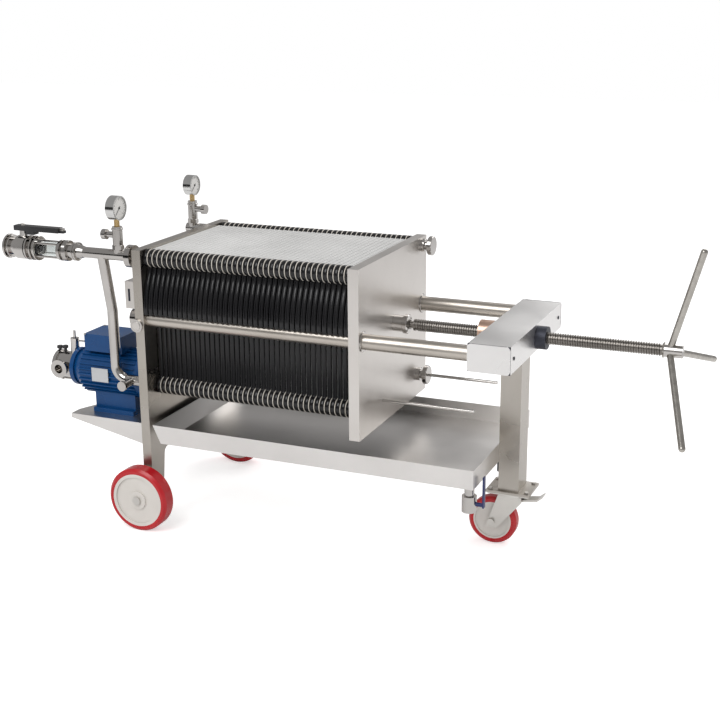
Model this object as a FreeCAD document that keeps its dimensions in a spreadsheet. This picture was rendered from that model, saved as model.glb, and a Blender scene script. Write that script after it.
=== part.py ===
import FreeCAD, Part
import Sketcher
import math
import os
import re

# A wheeled plate filter press. X runs along the rails towards the hand screw, Z is up and the
# machine is symmetric about Y = 0. The origin is on the floor, under the middle of its length.
# Positions along X are worked out from face_x, the face of the fixed plate that the pack meets.

SIZES = {
    # Clearances
    "running_gap": 0.06,
    "seat_gap": 0.3,
    "cut_margin": 5,
    # Overall reach, to either side of the fixed plate's face
    "valve_reach": 424,
    "handle_reach": 1350,
    # Fixed plate and its two legs
    "plate_width": 457,
    "head_thickness": 25,
    "head_top": 732,
    "arch_height": 190,
    "leg_top_width": 67,
    "leg_foot_width": 50,
    "leg_foot_height": 60,
    "arch_round": 16,
    # Rear wheels
    "wheel_radius": 85,
    "wheel_width": 44,
    "wheel_hub_radius": 71,
    "wheel_boss_radius": 24,
    "wheel_web_inset": 4,
    "wheel_rim": 8,
    "wheel_offset": 16,
    "tread_edge": 6,
    "axle_radius": 10,
    "axle_depth": 44,
    "axle_cap_radius": 11,
    "axle_cap_depth": 5,
    "axle_spacer_radius": 16,
    # Rails
    "rail_radius": 19,
    "rail_y": 201.5,
    "rail_height": 551.5,
    "rail_boss_radius": 23,
    "rail_boss_depth": 20,
    "rail_stud_radius": 7,
    "rail_stud_depth": 5,
    "side_boss_radius": 17,
    "side_boss_depth": 4,
    "side_boss_inset": 21,
    "side_boss_drop": 14,
    # Crossbeam at the screw end, its cover plates and its leg
    "beam_start": 856,
    "beam_depth": 102,
    "beam_half_length": 223,
    "beam_height": 66,
    "beam_bottom": 515.5,
    "beam_wall": 4,
    "beam_cap_depth": 4,
    "beam_cap_round": 8,
    "leg_x": 906.5,
    "leg_depth": 52,
    "leg_width": 72,
    "leg_wall": 3,
    "foot_plate_depth": 112,
    "foot_plate_width": 92,
    "foot_plate_thickness": 6,
    # Caster
    "caster_height": 150,
    "caster_plate_depth": 104,
    "caster_plate_width": 84,
    "caster_plate_thickness": 4,
    "caster_race_radius": 33,
    "caster_race_depth": 9,
    "caster_trail": 46,
    "caster_radius": 62.5,
    "caster_hub_radius": 49,
    "caster_width": 32,
    "caster_side_gap": 4,
    "caster_axle_radius": 6,
    "caster_nut_radius": 9,
    "caster_nut_depth": 6,
    "caster_boss_radius": 13,
    "fork_thickness": 3.5,
    "fork_top_half": 30,
    "fork_foot_half": 15,
    "pedal_width": 30,
    "pedal_length": 58,
    "pedal_toe": 14,
    "pedal_thickness": 5,
    "pedal_rise": 9,
    "pedal_toe_rise": 12,
    "pedal_eye_radius": 7,
    "pedal_pin_radius": 4,
    "pedal_pin_drop": 14,
    "pedal_pin_reach": 10,
    # Drip tray and what holds it
    "tray_start": 14,
    "tray_width": 475,
    "tray_bottom": 230.5,
    "tray_height": 48,
    "tray_wall": 2,
    "tray_slant": 22,
    "tray_bracket_depth": 60,
    "tray_bracket_drop": 26,
    "tray_bracket_length": 260,
    "tray_bracket_thickness": 4,
    # Filter pack
    "plate_count": 40,
    "plate_pitch": 14.1,
    "sheet_thickness": 1.6,
    "plate_bottom": 345,
    "plate_top": 724,
    "plate_lower_half": 172,
    "plate_neck_half": 199,
    "plate_neck_height": 676,
    "plate_lug_half": 229,
    "plate_lug_height": 604,
    "ear_radius": 23,
    "top_ear_y": 196,
    "top_ear_height": 708.5,
    "low_ear_y": 166,
    "low_ear_height": 367,
    "sheet_margin": 6,
    # Moving plate
    "moving_thickness": 27,
    "moving_top": 730.5,
    "moving_bottom": 308.5,
    "bush_radius": 26,
    "bush_flange": 14,
    "thrust_hub_radius": 26,
    "thrust_hub_depth": 40,
    "thrust_seat_depth": 12,
    "port_cap_radius": 22,
    "port_cap_depth": 22,
    "port_neck_radius": 15,
    "port_neck_depth": 10,
    # Tie rods that guide the plates' lower ports
    "pull_rod_radius": 4,
    "far_rod_length": 190,
    "near_rod_length": 238,
    "near_rod_y": 80,
    "near_rod_height": 368,
    # Screw, its nut and the three-armed handle
    "screw_height": 548,
    "screw_radius": 15,
    "screw_neck_radius": 12,
    "nut_radius": 30,
    "nut_depth": 40,
    "nut_barrel_radius": 22,
    "collar_radius": 28,
    "collar_depth": 26,
    "screw_bore_gap": 0.08,
    "thread_end": 1257,
    "handle_hub_radius": 16,
    "handle_hub_length": 46,
    "arm_radius": 8,
    "arm_root": 1272,
    "arm_tip_radius": 251,
    "arm_phase": 101.8,
    "arm_count": 3,
    # Pump shelf
    "shelf_top": 252,
    "shelf_reach": 285,
    "shelf_near": 170,
    "shelf_far": 10,
    "shelf_thickness": 4,
    "shelf_tip_width": 38,
    "shelf_corner": 60,
    "gusset_height": 62,
    "gusset_tip": 8,
    # Motor
    "motor_y": 80,
    "motor_height": 359,
    "motor_radius": 60,
    "fin_height": 6,
    "fin_width": 3,
    "fin_count": 28,
    "motor_start": 272,
    "motor_end": 98,
    "fan_cover_end": 42,
    "fan_cover_radius": 64,
    "fan_cover_nose": 12,
    "bell_length": 26,
    "bell_radius": 46,
    "flange_radius": 52,
    "flange_depth": 12,
    "motor_foot_width": 104,
    "motor_foot_start": 238,
    "motor_foot_end": 112,
    "motor_foot_thickness": 12,
    "motor_neck_width": 78,
    "box_start": 256,
    "box_end": 140,
    "box_width": 96,
    "box_bottom": 421,
    "box_top": 468,
    "gland_radius": 12,
    "gland_depth": 14,
    "gland_inset": 22,
    # Pump
    "pump_length": 56,
    "pump_radius": 36,
    "pump_cover_depth": 10,
    "pump_cover_radius": 40,
    "port_x": 345,
    "port_radius": 16,
    "port_bore": 12.5,
    "port_length": 52,
    "port_floor": 8,
    "ferrule_radius": 25.25,
    "ferrule_depth": 7,
    "relief_x": 322,
    "relief_radius": 12,
    "relief_height": 42,
    "relief_tip_radius": 4,
    "relief_tip_height": 20,
    # Outlet line
    "outlet_radius": 14,
    "outlet_bore": 11.5,
    "union_start": 186,
    "clamp_radius": 29,
    "clamp_depth": 16,
    "outlet_clamp_gap": 12,
    "union_length": 73,
    "union_radius": 27,
    "union_rim": 12,
    "union_waist_radius": 23,
    "glass_length": 65,
    "glass_radius": 19,
    "glass_wall": 3,
    "tie_rod_radius": 3,
    "tie_rod_count": 4,
    "tie_rod_circle": 24,
    "tie_rod_phase": 45,
    "valve_body_radius": 31,
    "valve_mouth_radius": 12.5,
    "valve_mouth_depth": 22,
    "valve_centre_depth": 30,
    "valve_waist_radius": 22,
    "valve_boss_radius": 10,
    "valve_stem_radius": 4,
    "valve_stem_height": 14,
    "valve_disc_gap": 0.4,
    "valve_disc_thickness": 2,
    "lever_length": 130,
    "lever_back": 22,
    "lever_height": 13,
    "lever_width": 22,
    "lever_latch_length": 40,
    "lever_latch_drop": 9,
    "lever_tip_length": 14,
    "lever_tip_width": 12,
    # Riser between the two outlet ports
    "riser_x": 134,
    "riser_joint_height": 552,
    "riser_bend": 38,
    "drain_stub_length": 50,
    "drain_stub_x": 82,
    "stub_radius": 10,
    "plug_radius": 13,
    "plug_depth": 8,
    # Gauges
    "near_gauge_x": 84,
    "far_gauge_x": 94,
    "near_gauge_height": 829,
    "near_gauge_radius": 31,
    "far_gauge_height": 829,
    "far_gauge_radius": 28,
    "inlet_overhang": 18,
    "gauge_depth": 24,
    "gauge_rim": 3,
    "gauge_stem_radius": 7,
    "gauge_stem_length": 16,
    "gauge_block_radius": 13,
    "knob_arm_radius": 8,
    "knob_arm_length": 18,
    "knob_radius": 13,
    "knob_depth": 12,
    "knob_drop": 22,
    "tap_spindle_radius": 4,
    "tap_spindle_depth": 8,
    # Switch box on the fixed plate's outer face
    "switch_bottom": 581,
    "switch_height": 70,
    "switch_width": 40,
    "switch_depth": 25,
    # Drain valve under the tray
    "drain_x": 856,
    "drain_y": 190,
    "drain_pipe_radius": 12,
    "drain_bore_radius": 9,
    "drain_pipe_length": 34,
    "drain_body_radius": 18,
    "drain_body_height": 40,
    "drain_stem_radius": 5,
    "drain_stem_length": 16,
    "drain_lever_length": 72,
    "drain_lever_width": 12,
    "drain_lever_thickness": 4,
}

# Places and sizes that follow from the ones above.
PLACES = {
    "face_x": "(valve_reach - handle_reach) / 2",
    "half_width": "plate_width / 2",
    "head_x": "face_x - head_thickness",
    "axle_x": "face_x - head_thickness / 2",
    "axle_root": "half_width - axle_depth",
    "wheel_inner": "half_width + wheel_offset",
    "wheel_outer": "wheel_inner + wheel_width",
    "plate_thickness": "plate_pitch - sheet_thickness",
    "pack_end": "face_x + plate_count * plate_pitch - sheet_thickness",
    "moving_x": "pack_end + seat_gap",
    "moving_back": "moving_x + moving_thickness",
    "boss_x": "head_x - rail_boss_depth",
    "beam_x": "face_x + beam_start",
    "beam_back": "beam_x + beam_depth",
    "beam_top": "beam_bottom + beam_height",
    "post_x": "face_x + leg_x",
    "foot_top": "caster_height + foot_plate_thickness",
    "hub_end": "moving_back + thrust_hub_depth",
    "nut_x": "beam_x - nut_depth",
    "screw_end": "face_x + thread_end",
    "handle_end": "screw_end + handle_hub_length",
    "tip_x": "face_x + handle_reach - arm_radius",
    "arm_x": "face_x + arm_root",
    "shelf_x": "head_x - shelf_reach + head_thickness",
    "caster_x": "post_x - caster_trail",
    "caster_top": "caster_height - caster_plate_thickness",
    "race_bottom": "caster_top - caster_race_depth",
    "fork_half": "caster_width / 2 + caster_side_gap",
    "fork_top": "race_bottom - seat_gap",
    "pin_x": "post_x + pedal_pin_reach",
    "pin_z": "fork_top - pedal_pin_drop",
    "tray_x": "face_x + tray_start",
    "tray_end": "post_x - leg_depth / 2",
    "tray_top": "tray_bottom + tray_height",
    "tray_half": "tray_width / 2",
    "tray_floor": "tray_bottom + tray_wall",
    "line_y": "-top_ear_y",
    "line_z": "top_ear_height",
    "valve_end": "face_x - valve_reach",
    "clamp_x": "head_x - outlet_clamp_gap - clamp_depth",
    "union_x": "face_x - union_start - union_length",
    "glass_x": "union_x - glass_length",
    "valve_length": "glass_x - valve_end",
    "valve_x": "valve_end + valve_length / 2",
    "lever_z": "line_z + valve_body_radius + valve_stem_height",
    "riser_abs": "face_x - riser_x",
    "low_line_y": "-low_ear_y",
    "elbow_z": "low_ear_height + riser_bend",
    "pump_front": "face_x - motor_start - bell_length - flange_depth",
    "bell_x": "face_x - motor_start",
    "port_abs": "face_x - port_x",
    "pump_y": "-motor_y",
    "switch_x": "head_x - switch_depth",
    "drain_abs": "face_x + drain_x",
    "drain_top": "tray_bottom - drain_pipe_length",
    "drain_bottom": "drain_top - drain_body_height",
    "drain_body_z": "drain_bottom + drain_body_height / 2",
    "drain_lever_x": "drain_abs + drain_body_radius + drain_stem_length",
    "low_line_z": "low_ear_height",
    "pump_back": "pump_front - pump_length",
    "stub_x": "face_x - drain_stub_x",
    "pin_y": "fork_half + fork_thickness",
}

doc = FreeCAD.newDocument("PlateFilterPress")
sheet = doc.addObject("Spreadsheet::Sheet", "Sizes")
for row, (size_name, size_value) in enumerate(SIZES.items(), start=1):
    sheet.set(f"A{row}", size_name)
    sheet.set(f"B{row}", str(size_value))
    sheet.setAlias(f"B{row}", size_name)
doc.recompute()


def linked(formula):
    """A formula of sizes and places, with each name pointing at the object that holds it."""
    def holder(match):
        word = match.group(0)
        if word in SIZES:
            return "Sizes." + word
        if word in PLACES:
            return "Places." + word
        return word
    return re.sub(r"[a-z]\w*", holder, str(formula))


places = doc.addObject("App::VarSet", "Places")
for place_name in PLACES:
    places.addProperty("App::PropertyFloat", place_name)
for place_name, place_formula in PLACES.items():
    places.setExpression(place_name, linked(place_formula))
measure = doc.addObject("App::VarSet", "Measure")
measure.addProperty("App::PropertyFloat", "result")
doc.recompute()

AXIS_TURN = {
    "X": FreeCAD.Rotation(FreeCAD.Vector(0, 0, 1), FreeCAD.Vector(1, 0, 0)),
    "Y": FreeCAD.Rotation(FreeCAD.Vector(0, 0, 1), FreeCAD.Vector(0, 1, 0)),
    "Z": FreeCAD.Rotation(),
}
TURNED_TURN = {
    "X": FreeCAD.Rotation(),
    "Y": FreeCAD.Rotation(FreeCAD.Vector(0, 0, 1), 90),
    "Z": FreeCAD.Rotation(FreeCAD.Vector(0, 1, 0), -90),
}
NODES = []


def number(formula):
    """The present value of a formula of sizes and places."""
    measure.setExpression("result", linked(formula))
    measure.recompute()
    return measure.result


def point(x, y, z):
    """A vector from three formulas."""
    return FreeCAD.Vector(number(x), number(y), number(z))


def seat(thing, x, y, z):
    """Binds where an object stands to three formulas."""
    thing.setExpression("Placement.Base.x", linked(x))
    thing.setExpression("Placement.Base.y", linked(y))
    thing.setExpression("Placement.Base.z", linked(z))
    return thing


def box(name, x, y, z):
    """A block between a low and a high formula on each axis."""
    block = doc.addObject("Part::Box", name)
    block.setExpression("Length", linked(f"({x[1]}) - ({x[0]})"))
    block.setExpression("Width", linked(f"({y[1]}) - ({y[0]})"))
    block.setExpression("Height", linked(f"({z[1]}) - ({z[0]})"))
    return seat(block, x[0], y[0], z[0])


def rod(name, axis, radius, ends, across):
    """A round bar along an axis, with its centre given on the two other axes."""
    bar = doc.addObject("Part::Cylinder", name)
    bar.setExpression("Radius", linked(radius))
    bar.setExpression("Height", linked(f"({ends[1]}) - ({ends[0]})"))
    bar.Placement.Rotation = AXIS_TURN[axis]
    centre = list(across)
    centre.insert("XYZ".index(axis), ends[0])
    return seat(bar, *centre)


def joined(name, pieces):
    """One solid from pieces that meet or overlap."""
    fuse = doc.addObject("Part::MultiFuse", name)
    fuse.Shapes = pieces
    return fuse


def grouped(name, pieces):
    """Separate solids kept side by side in one object."""
    group = doc.addObject("Part::Compound", name)
    group.Links = pieces
    return group


def less(name, base, tools):
    """A solid with the tools cut away."""
    cut = doc.addObject("Part::Cut", name)
    cut.Base = base
    cut.Tool = tools[0] if len(tools) == 1 else joined(name + "Tools", tools)
    return cut


def node(label, thing):
    """Names a finished sub-part after the file that it is written to."""
    thing.Label = label
    NODES.append(thing)
    return thing


def origin_plane(body, role):
    """One of a body's own origin planes."""
    return next(plane for plane in body.Origin.OriginFeatures if plane.Role == role)


def sketched(body, name, role, points):
    """A closed outline of straight edges on an origin plane, each corner bound to its formulas."""
    sketch = body.newObject("Sketcher::SketchObject", name + "Outline")
    sketch.AttachmentSupport = [(origin_plane(body, role), "")]
    sketch.MapMode = "FlatFace"
    corners = [FreeCAD.Vector(number(u), number(v), 0) for u, v in points]
    for i, corner in enumerate(corners):
        sketch.addGeometry(Part.LineSegment(corner, corners[(i + 1) % len(corners)]), False)
    for i in range(len(corners)):
        sketch.addConstraint(Sketcher.Constraint("Coincident", i, 2, (i + 1) % len(corners), 1))
    for i, (corner, formulas) in enumerate(zip(corners, points)):
        for kind, value, formula in zip(("DistanceX", "DistanceY"), corner, formulas):
            index = sketch.addConstraint(Sketcher.Constraint(kind, -1, 1, i, 1, value))
            sketch.setExpression(f"Constraints[{index}]", linked(formula))
    return sketch


def padded(name, role, points, depth, place, rounds=()):
    """An outline made solid to a depth along +X, +Y or +Z, with named corner rounds."""
    body = doc.addObject("PartDesign::Body", name)
    pad = body.newObject("PartDesign::Pad", name + "Pad")
    pad.Profile = sketched(body, name, role, points)
    pad.setExpression("Length", linked(depth))
    pad.Reversed = role == "XZ_Plane"
    seat(body, *place)
    for index, (corners, radius) in enumerate(rounds):
        doc.recompute()
        edges = edges_at(pad.Shape, role, [(number(u), number(v)) for u, v in corners])
        fillet = body.newObject("PartDesign::Fillet", f"{name}Round{index}")
        fillet.Base = (pad, edges)
        fillet.setExpression("Radius", linked(radius))
        pad = fillet
    return body


def edges_at(shape, role, corners):
    """The names of the edges that stand on the given corners of an outline."""
    first, second = {"XY_Plane": (0, 1), "XZ_Plane": (0, 2), "YZ_Plane": (1, 2)}[role]
    names = []
    for index, edge in enumerate(shape.Edges, start=1):
        ends = [(v.Point[first], v.Point[second]) for v in edge.Vertexes]
        same = len(ends) == 2 and math.dist(ends[0], ends[1]) < NEAR
        if same and any(math.dist(ends[0], corner) < NEAR for corner in corners):
            names.append(f"Edge{index}")
    return names


def turned(name, axis, outline, centre):
    """A solid of revolution about an axis, from (along, radius) corners."""
    body = doc.addObject("PartDesign::Body", name)
    turn = body.newObject("PartDesign::Revolution", name + "Turn")
    profile = sketched(body, name, "XY_Plane", outline)
    turn.Profile = profile
    turn.ReferenceAxis = (profile, ["H_Axis"])
    body.Placement.Rotation = TURNED_TURN[axis]
    return seat(body, *centre)


def shaped(name, shape):
    """A Part::Feature for a form that the primitives and bodies don't make."""
    feature = doc.addObject("Part::Feature", name)
    feature.Shape = shape
    return feature


def bar_between(start, end, radius):
    """A round bar from one point to another."""
    return Part.makeCylinder(radius, (end - start).Length, start, end - start)


NEAR = 0.01


# Fixed plate: one plate that runs down into two legs, with an arch between them.
head = padded("Head", "YZ_Plane", [
    ("-half_width", "leg_foot_height"),
    ("-half_width", "head_top"),
    ("half_width", "head_top"),
    ("half_width", "leg_foot_height"),
    ("half_width - leg_foot_width", "leg_foot_height"),
    ("half_width - leg_top_width", "arch_height"),
    ("leg_top_width - half_width", "arch_height"),
    ("leg_foot_width - half_width", "leg_foot_height"),
], "head_thickness", ("head_x", "0", "0"), [
    ([("half_width - leg_top_width", "arch_height"),
      ("leg_top_width - half_width", "arch_height")], "arch_round"),
])
axle_bars = []
axle_holes = []
AXLE_PARTS = (
    ("Bar", "axle_radius", "axle_root", "wheel_outer + seat_gap"),
    ("Spacer", "axle_spacer_radius", "half_width", "wheel_inner - seat_gap"),
    ("Cap", "axle_cap_radius", "wheel_outer + seat_gap", "wheel_outer + seat_gap + axle_cap_depth"),
)
for side in ("Near", "Far"):
    pieces = []
    for name, radius, low, high in AXLE_PARTS:
        ends = (low, high) if side == "Far" else (f"-({high})", f"-({low})")
        pieces.append(rod(side + "Axle" + name, "Y", radius, ends, ("axle_x", "wheel_radius")))
    axle_bars.append(joined(side + "Axle", pieces))
    axle_holes.append(rod(side + "AxleHole", "Y", "axle_radius",
                          ("axle_root", "half_width + cut_margin") if side == "Far"
                          else ("-half_width - cut_margin", "-axle_root"), ("axle_x", "wheel_radius")))
node("head_plate", less("HeadPlate", head, axle_holes))

# Rear axles: a stub from each leg, with a spacer and an end cap at its wheel.
node("rear_axles", grouped("RearAxles", axle_bars))

# Rear wheels: a dished white hub with a bonded tread.
WHEEL_HUB = [
    ("0", "axle_radius + running_gap"),
    ("0", "wheel_boss_radius"),
    ("wheel_web_inset", "wheel_boss_radius"),
    ("wheel_web_inset", "wheel_hub_radius - wheel_rim"),
    ("0", "wheel_hub_radius - wheel_rim"),
    ("0", "wheel_hub_radius"),
    ("wheel_width", "wheel_hub_radius"),
    ("wheel_width", "wheel_hub_radius - wheel_rim"),
    ("wheel_width - wheel_web_inset", "wheel_hub_radius - wheel_rim"),
    ("wheel_width - wheel_web_inset", "wheel_boss_radius"),
    ("wheel_width", "wheel_boss_radius"),
    ("wheel_width", "axle_radius + running_gap"),
]
WHEEL_TREAD = [
    ("0", "wheel_hub_radius"),
    ("0", "wheel_radius - tread_edge"),
    ("tread_edge", "wheel_radius"),
    ("wheel_width - tread_edge", "wheel_radius"),
    ("wheel_width", "wheel_radius - tread_edge"),
    ("wheel_width", "wheel_hub_radius"),
]
for side, start in (("near", "-wheel_outer"), ("far", "wheel_inner")):
    centre = ("axle_x", start, "wheel_radius")
    node(side + "_wheel_hub", turned(side.title() + "Hub", "Y", WHEEL_HUB, centre))
    node(side + "_wheel_tread", turned(side.title() + "Tread", "Y", WHEEL_TREAD, centre))

# Rails from the fixed plate to the crossbeam, and their ends outside the fixed plate.
rail_fittings = []
for side, sign in (("near", "-"), ("far", "")):
    across = (sign + "rail_y", "rail_height")
    node(side + "_rail", rod(side.title() + "Rail", "X", "rail_radius", ("face_x", "beam_x"), across))
    boss = rod(side.title() + "RailBoss", "X", "rail_boss_radius", ("boss_x", "head_x"), across)
    stud = rod(side.title() + "RailStud", "X", "rail_stud_radius",
               ("boss_x - rail_stud_depth", "boss_x"), across)
    rail_fittings.append(joined(side.title() + "RailNut", [boss, stud]))
    ends = ("-half_width - side_boss_depth", "-half_width") if sign else (
        "half_width", "half_width + side_boss_depth")
    rail_fittings.append(rod(side.title() + "SideBoss", "Y", "side_boss_radius", ends,
                             ("face_x - side_boss_inset", "rail_height - side_boss_drop")))
node("rail_end_fittings", grouped("RailFittings", rail_fittings))

# Crossbeam: a square tube with the nut's hole through it and a cover plate on each end.
beam = box("BeamTube", ("beam_x", "beam_back"), ("-beam_half_length", "beam_half_length"),
           ("beam_bottom", "beam_top"))
beam_hollow = box("BeamHollow", ("beam_x + beam_wall", "beam_back - beam_wall"),
                  ("-beam_half_length - cut_margin", "beam_half_length + cut_margin"),
                  ("beam_bottom + beam_wall", "beam_top - beam_wall"))
nut_hole = rod("NutHole", "X", "nut_barrel_radius", ("beam_x - cut_margin", "beam_back + cut_margin"),
               ("0", "screw_height"))
node("crossbeam", less("Crossbeam", beam, [beam_hollow, nut_hole]))
BEAM_CORNERS = [
    ("beam_x", "beam_bottom"),
    ("beam_back", "beam_bottom"),
    ("beam_back", "beam_top"),
    ("beam_x", "beam_top"),
]
beam_caps = [
    padded(side + "Cap", "XZ_Plane", BEAM_CORNERS, "beam_cap_depth", ("0", start, "0"),
           [(BEAM_CORNERS, "beam_cap_round")])
    for side, start in (("Near", "-beam_half_length - beam_cap_depth"), ("Far", "beam_half_length"))
]
node("beam_end_caps", grouped("BeamCaps", beam_caps))

# Leg under the crossbeam, and the plate that the caster is bolted to.
leg = box("LegTube", ("post_x - leg_depth / 2", "post_x + leg_depth / 2"),
          ("-leg_width / 2", "leg_width / 2"), ("foot_top", "beam_bottom"))
leg_hollow = box("LegHollow", ("post_x - leg_depth / 2 + leg_wall", "post_x + leg_depth / 2 - leg_wall"),
                 ("-leg_width / 2 + leg_wall", "leg_width / 2 - leg_wall"),
                 ("foot_top - cut_margin", "beam_bottom + cut_margin"))
node("leg", less("Leg", leg, [leg_hollow]))
node("foot_plate", box("FootPlate", ("post_x - foot_plate_depth / 2", "post_x + foot_plate_depth / 2"),
                       ("-foot_plate_width / 2", "foot_plate_width / 2"), ("caster_height", "foot_top")))

# Caster: a bolted plate with its race, a fork that swivels, the wheel in it and the brake pedal.
caster_plate = box("CasterPlate", ("post_x - caster_plate_depth / 2", "post_x + caster_plate_depth / 2"),
                   ("-caster_plate_width / 2", "caster_plate_width / 2"), ("caster_top", "caster_height"))
race = rod("CasterRace", "Z", "caster_race_radius", ("race_bottom", "caster_top"), ("post_x", "0"))
node("caster_plate", joined("CasterTop", [caster_plate, race]))
FORK_CHEEK = [
    ("post_x - fork_top_half", "fork_top"),
    ("caster_x - fork_foot_half", "caster_radius - fork_foot_half"),
    ("caster_x + fork_foot_half", "caster_radius - fork_foot_half"),
    ("post_x + fork_top_half", "fork_top - pedal_pin_drop"),
    ("post_x + fork_top_half", "fork_top"),
]
fork_crown = box("ForkCrown", ("post_x - fork_top_half", "post_x + fork_top_half"),
                 ("-fork_half - fork_thickness", "fork_half + fork_thickness"),
                 ("fork_top - fork_thickness", "fork_top"))
fork = joined("ForkBlank", [
    fork_crown,
    padded("NearCheek", "XZ_Plane", FORK_CHEEK, "fork_thickness", ("0", "-fork_half - fork_thickness", "0")),
    padded("FarCheek", "XZ_Plane", FORK_CHEEK, "fork_thickness", ("0", "fork_half", "0")),
])
caster_ends = ("-pin_y - caster_nut_depth", "pin_y + caster_nut_depth")
caster_hole = rod("CasterHole", "Y", "caster_axle_radius", caster_ends, ("caster_x", "caster_radius"))
pin_hole = rod("PinHole", "Y", "pedal_pin_radius", caster_ends, ("pin_x", "pin_z"))
node("caster_fork", less("CasterFork", fork, [caster_hole, pin_hole]))
caster_axle = [
    rod("CasterBolt", "Y", "caster_axle_radius", caster_ends, ("caster_x", "caster_radius")),
    rod("NearCasterNut", "Y", "caster_nut_radius",
        (caster_ends[0], "-pin_y"), ("caster_x", "caster_radius")),
    rod("FarCasterNut", "Y", "caster_nut_radius",
        ("pin_y", caster_ends[1]), ("caster_x", "caster_radius")),
]
pedal_pin = rod("PedalPin", "Y", "pedal_pin_radius", ("-pin_y", "pin_y"), ("pin_x", "pin_z"))
node("fork_pins", grouped("ForkPins", [joined("CasterAxle", caster_axle), pedal_pin]))
CASTER_HUB = [
    ("0", "caster_axle_radius + running_gap"),
    ("0", "caster_boss_radius"),
    ("caster_side_gap", "caster_boss_radius"),
    ("caster_side_gap", "caster_hub_radius - caster_side_gap"),
    ("0", "caster_hub_radius - caster_side_gap"),
    ("0", "caster_hub_radius"),
    ("caster_width", "caster_hub_radius"),
    ("caster_width", "caster_hub_radius - caster_side_gap"),
    ("caster_width - caster_side_gap", "caster_hub_radius - caster_side_gap"),
    ("caster_width - caster_side_gap", "caster_boss_radius"),
    ("caster_width", "caster_boss_radius"),
    ("caster_width", "caster_axle_radius + running_gap"),
]
CASTER_TREAD = [
    ("0", "caster_hub_radius"),
    ("0", "caster_radius - tread_edge"),
    ("tread_edge", "caster_radius"),
    ("caster_width - tread_edge", "caster_radius"),
    ("caster_width", "caster_radius - tread_edge"),
    ("caster_width", "caster_hub_radius"),
]
caster_centre = ("caster_x", "-caster_width / 2", "caster_radius")
node("caster_hub", turned("CasterHub", "Y", CASTER_HUB, caster_centre))
node("caster_tread", turned("CasterTread", "Y", CASTER_TREAD, caster_centre))
pedal_plate = padded("PedalPlate", "XZ_Plane", [
    ("pin_x", "pin_z - pedal_thickness / 2"),
    ("pin_x + pedal_length", "pin_z + pedal_rise - pedal_thickness / 2"),
    ("pin_x + pedal_length + pedal_toe", "pin_z + pedal_rise + pedal_toe_rise - pedal_thickness / 2"),
    ("pin_x + pedal_length + pedal_toe", "pin_z + pedal_rise + pedal_toe_rise + pedal_thickness / 2"),
    ("pin_x + pedal_length", "pin_z + pedal_rise + pedal_thickness / 2"),
    ("pin_x", "pin_z + pedal_thickness / 2"),
], "pedal_width", ("0", "-pedal_width / 2", "0"))
pedal_eye = rod("PedalEye", "Y", "pedal_eye_radius",
                ("-pedal_width / 2", "pedal_width / 2"), ("pin_x", "pin_z"))
pedal_bore = rod("PedalBore", "Y", "pedal_pin_radius + running_gap",
                 ("-pedal_width", "pedal_width"), ("pin_x", "pin_z"))
node("brake_pedal", less("BrakePedal", joined("PedalBlank", [pedal_plate, pedal_eye]), [pedal_bore]))

# Drip tray with a slanted end at the fixed plate, its drain hole and the brackets under it.
tray_outer = padded("TrayOuter", "XZ_Plane", [
    ("tray_x + tray_slant", "tray_bottom"),
    ("tray_end", "tray_bottom"),
    ("tray_end", "tray_top"),
    ("tray_x", "tray_top"),
], "tray_width", ("0", "-tray_half", "0"))
tray_inner = padded("TrayInner", "XZ_Plane", [
    ("tray_x + tray_slant + tray_wall", "tray_floor"),
    ("tray_end - tray_wall", "tray_floor"),
    ("tray_end - tray_wall", "tray_top + cut_margin"),
    ("tray_x + tray_wall - tray_slant * cut_margin / tray_height", "tray_top + cut_margin"),
], "tray_width - 2 * tray_wall", ("0", "-tray_half + tray_wall", "0"))
drain_hole = rod("DrainHole", "Z", "drain_bore_radius",
                 ("tray_bottom - cut_margin", "tray_floor + cut_margin"), ("drain_abs", "-drain_y"))
node("drip_tray", less("DripTray", tray_outer, [tray_inner, drain_hole]))
tray_brackets = [
    padded("HeadBracket", "XZ_Plane", [
        ("face_x", "tray_bottom - tray_bracket_drop"),
        ("face_x + tray_bracket_thickness", "tray_bottom - tray_bracket_drop"),
        ("face_x + tray_bracket_thickness", "tray_bottom - tray_bracket_thickness"),
        ("face_x + tray_bracket_depth", "tray_bottom - tray_bracket_thickness"),
        ("face_x + tray_bracket_depth", "tray_bottom"),
        ("face_x", "tray_bottom"),
    ], "tray_bracket_length", ("0", "-tray_bracket_length / 2", "0")),
    padded("LegBracket", "XZ_Plane", [
        ("tray_end", "tray_bottom - tray_bracket_drop"),
        ("tray_end", "tray_bottom"),
        ("tray_end - tray_bracket_depth", "tray_bottom"),
        ("tray_end - tray_bracket_depth", "tray_bottom - tray_bracket_thickness"),
        ("tray_end - tray_bracket_thickness", "tray_bottom - tray_bracket_thickness"),
        ("tray_end - tray_bracket_thickness", "tray_bottom - tray_bracket_drop"),
    ], "leg_width", ("0", "-leg_width / 2", "0")),
]
node("tray_brackets", grouped("TrayBrackets", tray_brackets))

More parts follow.
